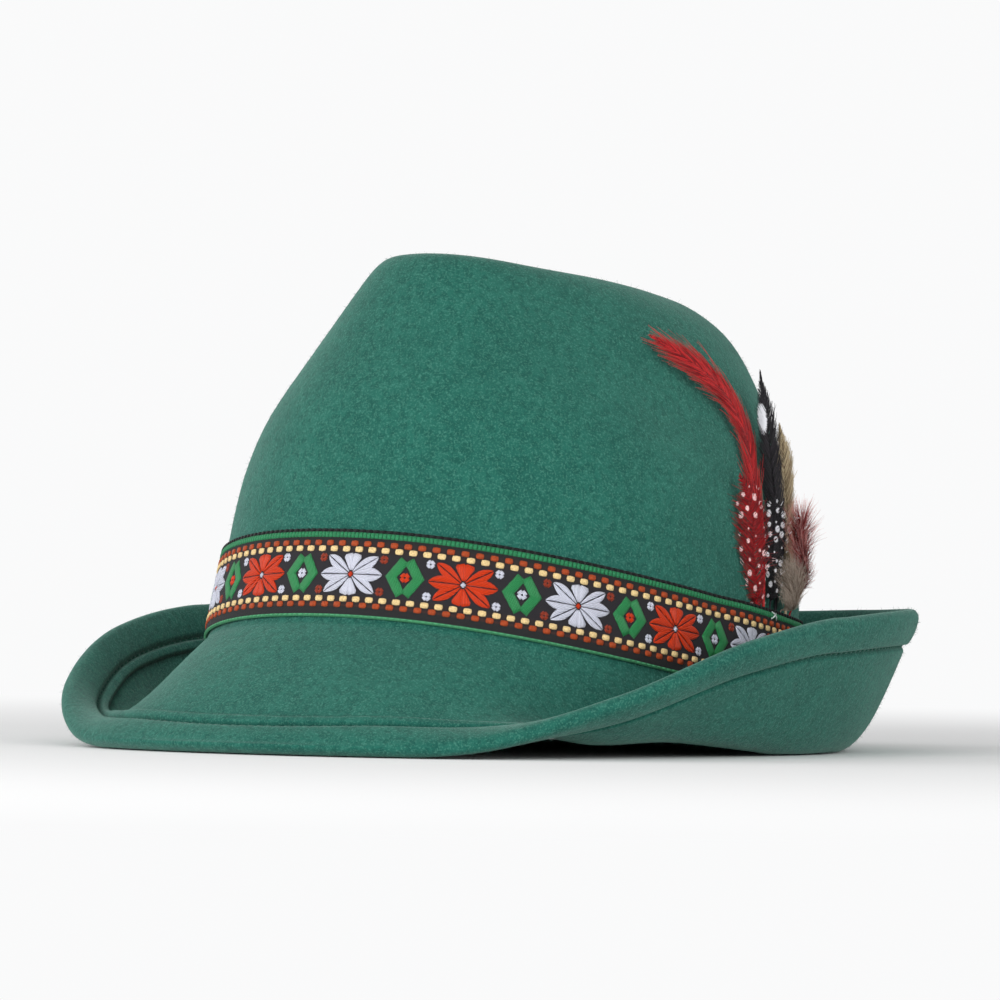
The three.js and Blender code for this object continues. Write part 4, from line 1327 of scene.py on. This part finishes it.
def barbs(strands, spine, rng, width, count, slant, wisp, steps=8, thin=0.13, camber=0.8, start=0.0,
          least=0.0):
    """Barbs in pairs along the vane. slant is the angle from the shaft, wisp the unevenness."""
    for s0 in np.linspace(spine.start + start, spine.length - 0.6, count):
        for side in (-1, 1):
            closing = min(1.0, (spine.length - s0) / (TIP_SHARE * spine.length)) ** 0.7
            half = width / 2 * max(least, float(spine.width(s0))) * (1 + wisp * rng.normal() * 0.5) * closing
            stray = rng.random() < wisp * 0.12
            angle = math.radians(slant * (1 + wisp * rng.normal() * 0.25) * (1.7 if stray else 1))
            reach = max(0.2, half) * (1.45 if stray else 1)
            u = np.linspace(0, 1, steps)
            across = side * reach * u ** 0.92
            ahead = reach / math.tan(max(angle, 0.16)) * u ** (1.25 - 0.3 * wisp)
            off = camber * (0.25 - (u - 0.35) ** 2) + 0.25 * wisp * rng.normal() * u + 0.06 * rng.normal()
            s = s0 + rng.normal() * 0.15 + ahead
            line = spine.place(s, across, np.maximum(off, -0.35))
            radius = thin * (1.15 - 0.85 * u)
            strands.add(line, np.stack([s - spine.start, across, u], axis=-1), radius, rng.random())


def plumes(strands, spine, rng, width, depth, count, length, shift, start=-2.5, splay=0.8, steps=9,
           thin=0.07):
    """Loose down that stands off the shaft to all sides; shift carries it to one side."""
    for s0 in rng.uniform(spine.start + start, spine.length - 0.5, count):
        open_ = max(0.4, float(spine.width(s0)))
        around = rng.uniform(0, 2 * math.pi)
        reach = open_ * rng.uniform(0.35, 1.0)
        u = np.linspace(0, 1, steps)
        bow = u ** (splay * rng.uniform(0.8, 1.5))
        across = math.cos(around) * reach * width / 2 * bow + shift * bow * rng.uniform(0.2, 1.6)
        off = np.maximum(math.sin(around) * reach * depth / 2 * bow + 0.4 * rng.normal() * u ** 2, -2.2)
        ahead = length * rng.uniform(0.45, 1.0) * u
        wave = 0.25 * np.sin(u * rng.uniform(4, 9) + rng.uniform(0, 6)) * u
        s = s0 + ahead
        line = spine.place(s, across + wave, off + wave * 0.6)
        radius = thin * (1.15 - 0.9 * u)
        strands.add(line, np.stack([s - spine.start, across, u], axis=-1), radius, rng.random())


# %% [markdown]
# No two barbs have quite the same tone, and a guinea fowl's feather has rows of pale spots.
# Both are drawn in the feather's own measure, which each barb keeps, so they follow the
# vane however it curves. Two node groups hold them, and each feather sets its own values.

# %% Streaks and spots
def barb_group():
    group, source, end = shader_group(
        "barb_streaks",
        [("Vane", VECTOR, None), ("Tint", FLOAT, 0.5), ("Dark", COLOUR, srgb(110, 12, 16)),
         ("Light", COLOUR, srgb(205, 60, 50)), ("Tip", COLOUR, srgb(205, 60, 50)), ("Tip Share", FLOAT, 0.0)],
        [("Color", COLOUR)])
    streak = ranged(group, source.outputs["Tint"], 0.1, 0.95)
    tone = mixed(group, streak, source.outputs["Dark"], source.outputs["Light"])
    outer = ranged(group, xyz(group, source.outputs["Vane"])["Z"], 0.45, 1.0)
    share = math_node(group, "MULTIPLY", outer, source.outputs["Tip Share"])
    tone = mixed(group, share, tone, source.outputs["Tip"])
    wire(group, [(tone, end.inputs["Color"])])
    return group


def spots_group():
    """Rows of pale spots, staggered, each a little out of place."""
    group, source, end = shader_group(
        "feather_spots",
        [("Vane", VECTOR, None), ("Along", FLOAT, 3.0), ("Across", FLOAT, 2.4), ("Size", FLOAT, 0.8)],
        [("Mask", FLOAT)])
    vane = xyz(group, source.outputs["Vane"])
    column = math_node(group, "DIVIDE", vane["Y"], source.outputs["Across"])
    odd = math_node(group, "PINGPONG", math_node(group, "FLOOR", column), 1.0)
    row = math_node(group, "ADD", math_node(group, "DIVIDE", vane["X"], source.outputs["Along"]),
                    math_node(group, "MULTIPLY", odd, 0.5))
    cell, chance = group.nodes.new("ShaderNodeCombineXYZ"), group.nodes.new("ShaderNodeTexWhiteNoise")
    wire(group, [(math_node(group, "FLOOR", row), cell.inputs["X"]),
                 (math_node(group, "FLOOR", column), cell.inputs["Y"]),
                 (cell.outputs[0], chance.inputs["Vector"])])
    shift = xyz(group, chance.outputs["Color"])
    legs = []
    for value, key, pitch, stretch in ((row, "X", "Along", 0.72), (column, "Y", "Across", 1.0)):
        centre = math_node(group, "MULTIPLY_ADD", shift[key], 0.5, 0.25)
        gap = math_node(group, "SUBTRACT", math_node(group, "FRACT", value), centre)
        leg = math_node(group, "MULTIPLY", math_node(group, "MULTIPLY", gap, source.outputs[pitch]), stretch)
        legs.append(math_node(group, "MULTIPLY", leg, leg))
    far = math_node(group, "SQRT", math_node(group, "ADD", *legs))
    size = math_node(group, "MULTIPLY", source.outputs["Size"],
                     math_node(group, "MULTIPLY_ADD", chance.outputs["Value"], 0.85, 0.3))
    edge = math_node(group, "SUBTRACT", size, far)
    wire(group, [(ranged(group, edge, -0.06, 0.12), end.inputs["Mask"])])
    return group


BARB, SPOTS = barb_group(), spots_group()


def feather_material(name, dark, light, tip, tip_share, spots=None, patch=None, roughness=0.5):
    material, tree, shader = new_material(name, roughness, Sheen_Weight=0.04, Specular_IOR_Level=0.25)
    vane, tint = attribute(tree, "vane_mm").outputs["Vector"], attribute(tree, "tint").outputs["Fac"]
    tone = use_group(tree, BARB, Vane=vane, Tint=tint, Dark=dark, Light=light, Tip=tip,
                     Tip_Share=tip_share).outputs["Color"]
    if spots:
        colour, along, across, size = spots
        mask = use_group(tree, SPOTS, Vane=vane, Along=along, Across=across, Size=size).outputs["Mask"]
        tone = mixed(tree, mask, tone, colour)
    if patch:
        colour, along, across, long, wide = patch
        at = xyz(tree, vane)
        a = math_node(tree, "DIVIDE", math_node(tree, "SUBTRACT", at["X"], along), long)
        b = math_node(tree, "DIVIDE", math_node(tree, "SUBTRACT", at["Y"], across), wide)
        far = math_node(tree, "ADD", math_node(tree, "MULTIPLY", a, a), math_node(tree, "MULTIPLY", b, b))
        frayed = math_node(tree, "ADD", far, math_node(tree, "MULTIPLY_ADD", tint, 0.8, -0.4))
        tone = mixed(tree, ranged(tree, frayed, 0.7, 1.15, 0.95, 0.0), tone, colour)
    tree.links.new(tone, shader.inputs["Base Color"])
    return material


# %% [markdown]
# The seven feathers differ only in their values, so tables hold these and one function makes
# them all. A feather has barbs or loose down, and some have spots or a pale patch.

# %% The seven feathers
FIRST_SEED = 20  # the first feather's seed; the others count on in the order of PATHS
WHITE, PINK = srgb(235, 235, 240), srgb(245, 205, 205)
# Piece, slot, dark, light and tip tone, share of the tip tone, radius of the shaft
FEATHERS = {
    "hackle_red": ("feather_hackle_red", "feather_red",
                   (104, 4, 12), (190, 34, 36), (208, 74, 68), 0.35, 0.3),
    "guinea_red": ("feather_guinea_red", "feather_spotted_red",
                   (84, 0, 6), (158, 4, 14), (132, 4, 14), 0.2, 0.4),
    "feather_black": ("feather_long_black", "feather_black",
                      (6, 5, 8), (36, 32, 38), (46, 42, 48), 0.25, 0.35),
    "feather_tan": ("feather_long_tan", "feather_tan",
                    (122, 104, 78), (192, 174, 140), (206, 192, 162), 0.4, 0.35),
    "guinea_dark": ("feather_guinea_dark", "feather_spotted_dark",
                    (8, 7, 10), (36, 32, 38), (24, 22, 26), 0.2, 0.4),
    "fluff_taupe": ("down_taupe", "fluff_taupe",
                    (126, 108, 94), (192, 174, 158), (216, 202, 188), 0.5, 0.35),
    "fluff_red": ("down_red", "fluff_red",
                  (70, 3, 8), (156, 16, 26), (240, 176, 168), 0.65, 0.35),
}
BARBS = {
    "hackle_red": dict(width=5.7, count=560, slant=13.0, wisp=0.6, steps=10, thin=0.12, camber=1.2),
    "guinea_red": dict(width=9.4, count=320, slant=46.0, wisp=0.6, camber=1.0, start=-4.5, least=0.55),
    "feather_black": dict(width=7.4, count=480, slant=22.0, wisp=0.25, start=-5.0, least=0.4),
    "feather_tan": dict(width=8.0, count=440, slant=22.0, wisp=0.2, start=-5.0, least=0.4),
    "guinea_dark": dict(width=9.0, count=280, slant=46.0, wisp=0.6, camber=1.0, start=-3.5, least=0.6),
}
DOWN = {
    "fluff_taupe": dict(width=18.0, depth=13.0, count=1200, length=7.5, shift=7.0),
    "fluff_red": dict(width=27.0, depth=24.0, count=1500, length=11.0, shift=4.5, start=1.0, splay=1.05),
}
# Spots: tone, pitch along and across, size. Patch: tone, place along and across, length, width
FINISHES = {
    "guinea_red": dict(spots=(PINK, 5.0, 2.9, 0.9)),
    "feather_black": dict(patch=(WHITE, 50.0, 1.5, 4.8, 1.5)),
    "guinea_dark": dict(spots=(WHITE, 3.1, 2.3, 0.9)),
    "fluff_taupe": dict(roughness=0.8),
    "fluff_red": dict(roughness=0.7),
}


def feather(name):
    piece, slot, dark, light, tip, tip_share, thick = FEATHERS[name]
    strands, spine = Strands(), SPINES[name]
    rng = np.random.default_rng(FIRST_SEED + list(PATHS).index(name))
    if name in DOWN:
        plumes(strands, spine, rng, **DOWN[name])
    shaft(strands, spine, thick)
    if name in BARBS:
        barbs(strands, spine, rng, **BARBS[name])
    tones = [srgb(*tone) for tone in (dark, light, tip)]
    return strands.piece(piece, feather_material(slot, *tones, tip_share, **FINISHES.get(name, {})))


plume = {name: feather(name) for name in PATHS}

# %% [markdown]
# A small cross of white thread holds the plume to the ribbon's upper edge.

# %% Tacking cross
def tacking_cross():
    strands = Strands()
    for k, (a, b) in enumerate((((-1.8, -1.2), (1.8, 1.2)), ((-1.8, 1.2), (1.8, -1.2)))):
        u = np.linspace(0, 1, 12)
        middle = np.interp(math.radians(99.5), WALL_TURNS, RIBBON_RUN)
        along = middle + a[0] + (b[0] - a[0]) * u
        across = 25.6 + a[1] + (b[1] - a[1]) * u
        line = ribbon_place(along, across, -0.1 + (0.55 + 0.3 * k) * np.sin(u * math.pi))
        strands.add(line, np.zeros((12, 3)), np.full(12, 0.3), 0.5)
    return strands.piece("tacking_cross", plain_thread("thread_white", srgb(220, 232, 230)))


tacking = tacking_cross()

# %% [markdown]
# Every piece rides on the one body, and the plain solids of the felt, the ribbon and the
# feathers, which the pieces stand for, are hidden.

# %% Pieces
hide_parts("felt_body")
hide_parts("ribbon_band")
for node, piece in plume.items():
    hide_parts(node)
for piece in (felt, felt_fuzz, hem_stitches):
    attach(piece, "root")
for piece in (ribbon, *ribbon_rows, tacking, *threads.values()):
    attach(piece, "root")
for node, piece in plume.items():
    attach(piece, "root")

# %% [markdown]
# The hat lies on a pale floor in the even light of a studio. Away from the hat the floor
# runs into the background's own tone, so no horizon shows. The background gives most of
# the light, less from above, and three soft lamps are added once the camera stands.

# %% Floor and background
BACKGROUND = (0.955, 0.957, 0.96, 1.0)
FLOOR_TONE = (0.88, 0.88, 0.88, 1.0)
FLOOR_CLEAR = 0.0004
FLOOR_REACH = 12.0
GLOW_FROM, GLOW_FULL = 0.22, 0.75  # distances at which the floor begins and ends to glow
OVERHEAD = 0.46  # share of the background's light that comes from above


def floor():
    mesh = bpy.data.meshes.new("floor")
    corners = [(x * FLOOR_REACH, y * FLOOR_REACH, 0) for x, y in ((-1, -1), (1, -1), (1, 1), (-1, 1))]
    mesh.from_pydata(corners, [], [(0, 1, 2, 3)])
    plane = placed("floor", mesh)
    plane.location.z = -FLOOR_CLEAR
    material, tree, shader = new_material("pale_floor", 0.85, Specular_IOR_Level=0.1)
    shader.inputs["Base Color"].default_value = FLOOR_TONE
    glow, blend = tree.nodes.new("ShaderNodeEmission"), tree.nodes.new("ShaderNodeMixShader")
    glow.inputs["Color"].default_value = BACKGROUND
    place, far = tree.nodes.new("ShaderNodeTexCoord"), tree.nodes.new("ShaderNodeVectorMath")
    far.operation = "LENGTH"
    tree.links.new(place.outputs["Object"], far.inputs[0])
    end = tree.nodes["Material Output"]
    wire(tree, [(ranged(tree, far.outputs["Value"], GLOW_FROM, GLOW_FULL), blend.inputs[0]),
                (shader.outputs[0], blend.inputs[1]), (glow.outputs[0], blend.inputs[2]),
                (blend.outputs[0], end.inputs["Surface"])])
    mesh.materials.append(material)


def studio():
    world = bpy.data.worlds.new("studio")
    world.use_nodes = True
    sky = world.node_tree
    up = xyz(sky, sky.nodes.new("ShaderNodeTexCoord").outputs["Generated"])["Z"]
    dimmed = tuple(c * OVERHEAD for c in BACKGROUND[:3]) + (1.0,)
    tone = mixed(sky, ranged(sky, up, 0.12, 0.9), BACKGROUND, dimmed)
    sky.links.new(tone, sky.nodes["Background"].inputs["Color"])
    bpy.context.scene.world = world
    bpy.context.scene.view_settings.view_transform = "Standard"


floor()
studio()
print("floor reaches in metres:", FLOOR_REACH)

# %% [markdown]
# The camera stands level with the brim, 35 degrees towards the wearer's left of the front,
# far off, as for a product picture, and is rolled by under a degree.

# %% Camera
CAMERA_TURN, CAMERA_RISE, CAMERA_ROLL = 35.07, -0.25, -0.77
CAMERA_DISTANCE = 2.5
LOOK_AT = Vector((0.0, 0.0, 0.077))
LENS = 288.0


def camera():
    turn, rise, roll = (math.radians(v) for v in (CAMERA_TURN, CAMERA_RISE, CAMERA_ROLL))
    right = Vector((math.cos(turn), math.sin(turn), 0))
    level = Vector((-math.sin(turn), math.cos(turn), 0))
    forward = level * math.cos(rise) - Vector((0, 0, 1)) * math.sin(rise)
    up = right.cross(forward)
    tilted_right = right * math.cos(roll) - up * math.sin(roll)
    tilted_up = right * math.sin(roll) + up * math.cos(roll)
    eye = LOOK_AT - forward * CAMERA_DISTANCE
    data = bpy.data.cameras.new("camera")
    data.lens, data.clip_start, data.clip_end = LENS, 0.05, 60.0
    made = placed("camera", data)
    made.matrix_world = Matrix([*zip(tilted_right, tilted_up, -forward, eye), (0, 0, 0, 1)])
    bpy.context.scene.camera = made
    return right, forward, up, eye


right, forward, up, eye = camera()
print("camera height in metres: %.3f" % eye.z)

# %% [markdown]
# Three round area lamps stand round the hat: the key in front at the left, the fill in front
# at the right, and a weaker one behind the left side, which lifts the crown's edge. Their
# places are steps along the camera's own directions.

# %% Soft lamps
# Name, steps forward, right and up from the hat in metres, size and power
LAMPS = (("key", -1.2, -0.6, 0.25, 0.8, 13.0), ("fill", -0.8, 1.1, 0.15, 1.0, 8.0),
         ("side", 0.25, -1.2, 0.45, 0.9, 5.0))
for name, ahead, aside, above, size, power in LAMPS:
    data = bpy.data.lights.new(name, "AREA")
    data.shape, data.size, data.energy = "DISK", size, power
    lamp = placed(name, data)
    lamp.location = LOOK_AT + forward * ahead + right * aside + up * above
    lamp.rotation_euler = (LOOK_AT - lamp.location).to_track_quat("-Z", "Y").to_euler()
print("lamps:", len(LAMPS))

# %% [markdown]
# At the end the scene is brought up to date.

# %% Update the scene
bpy.context.view_layer.update()
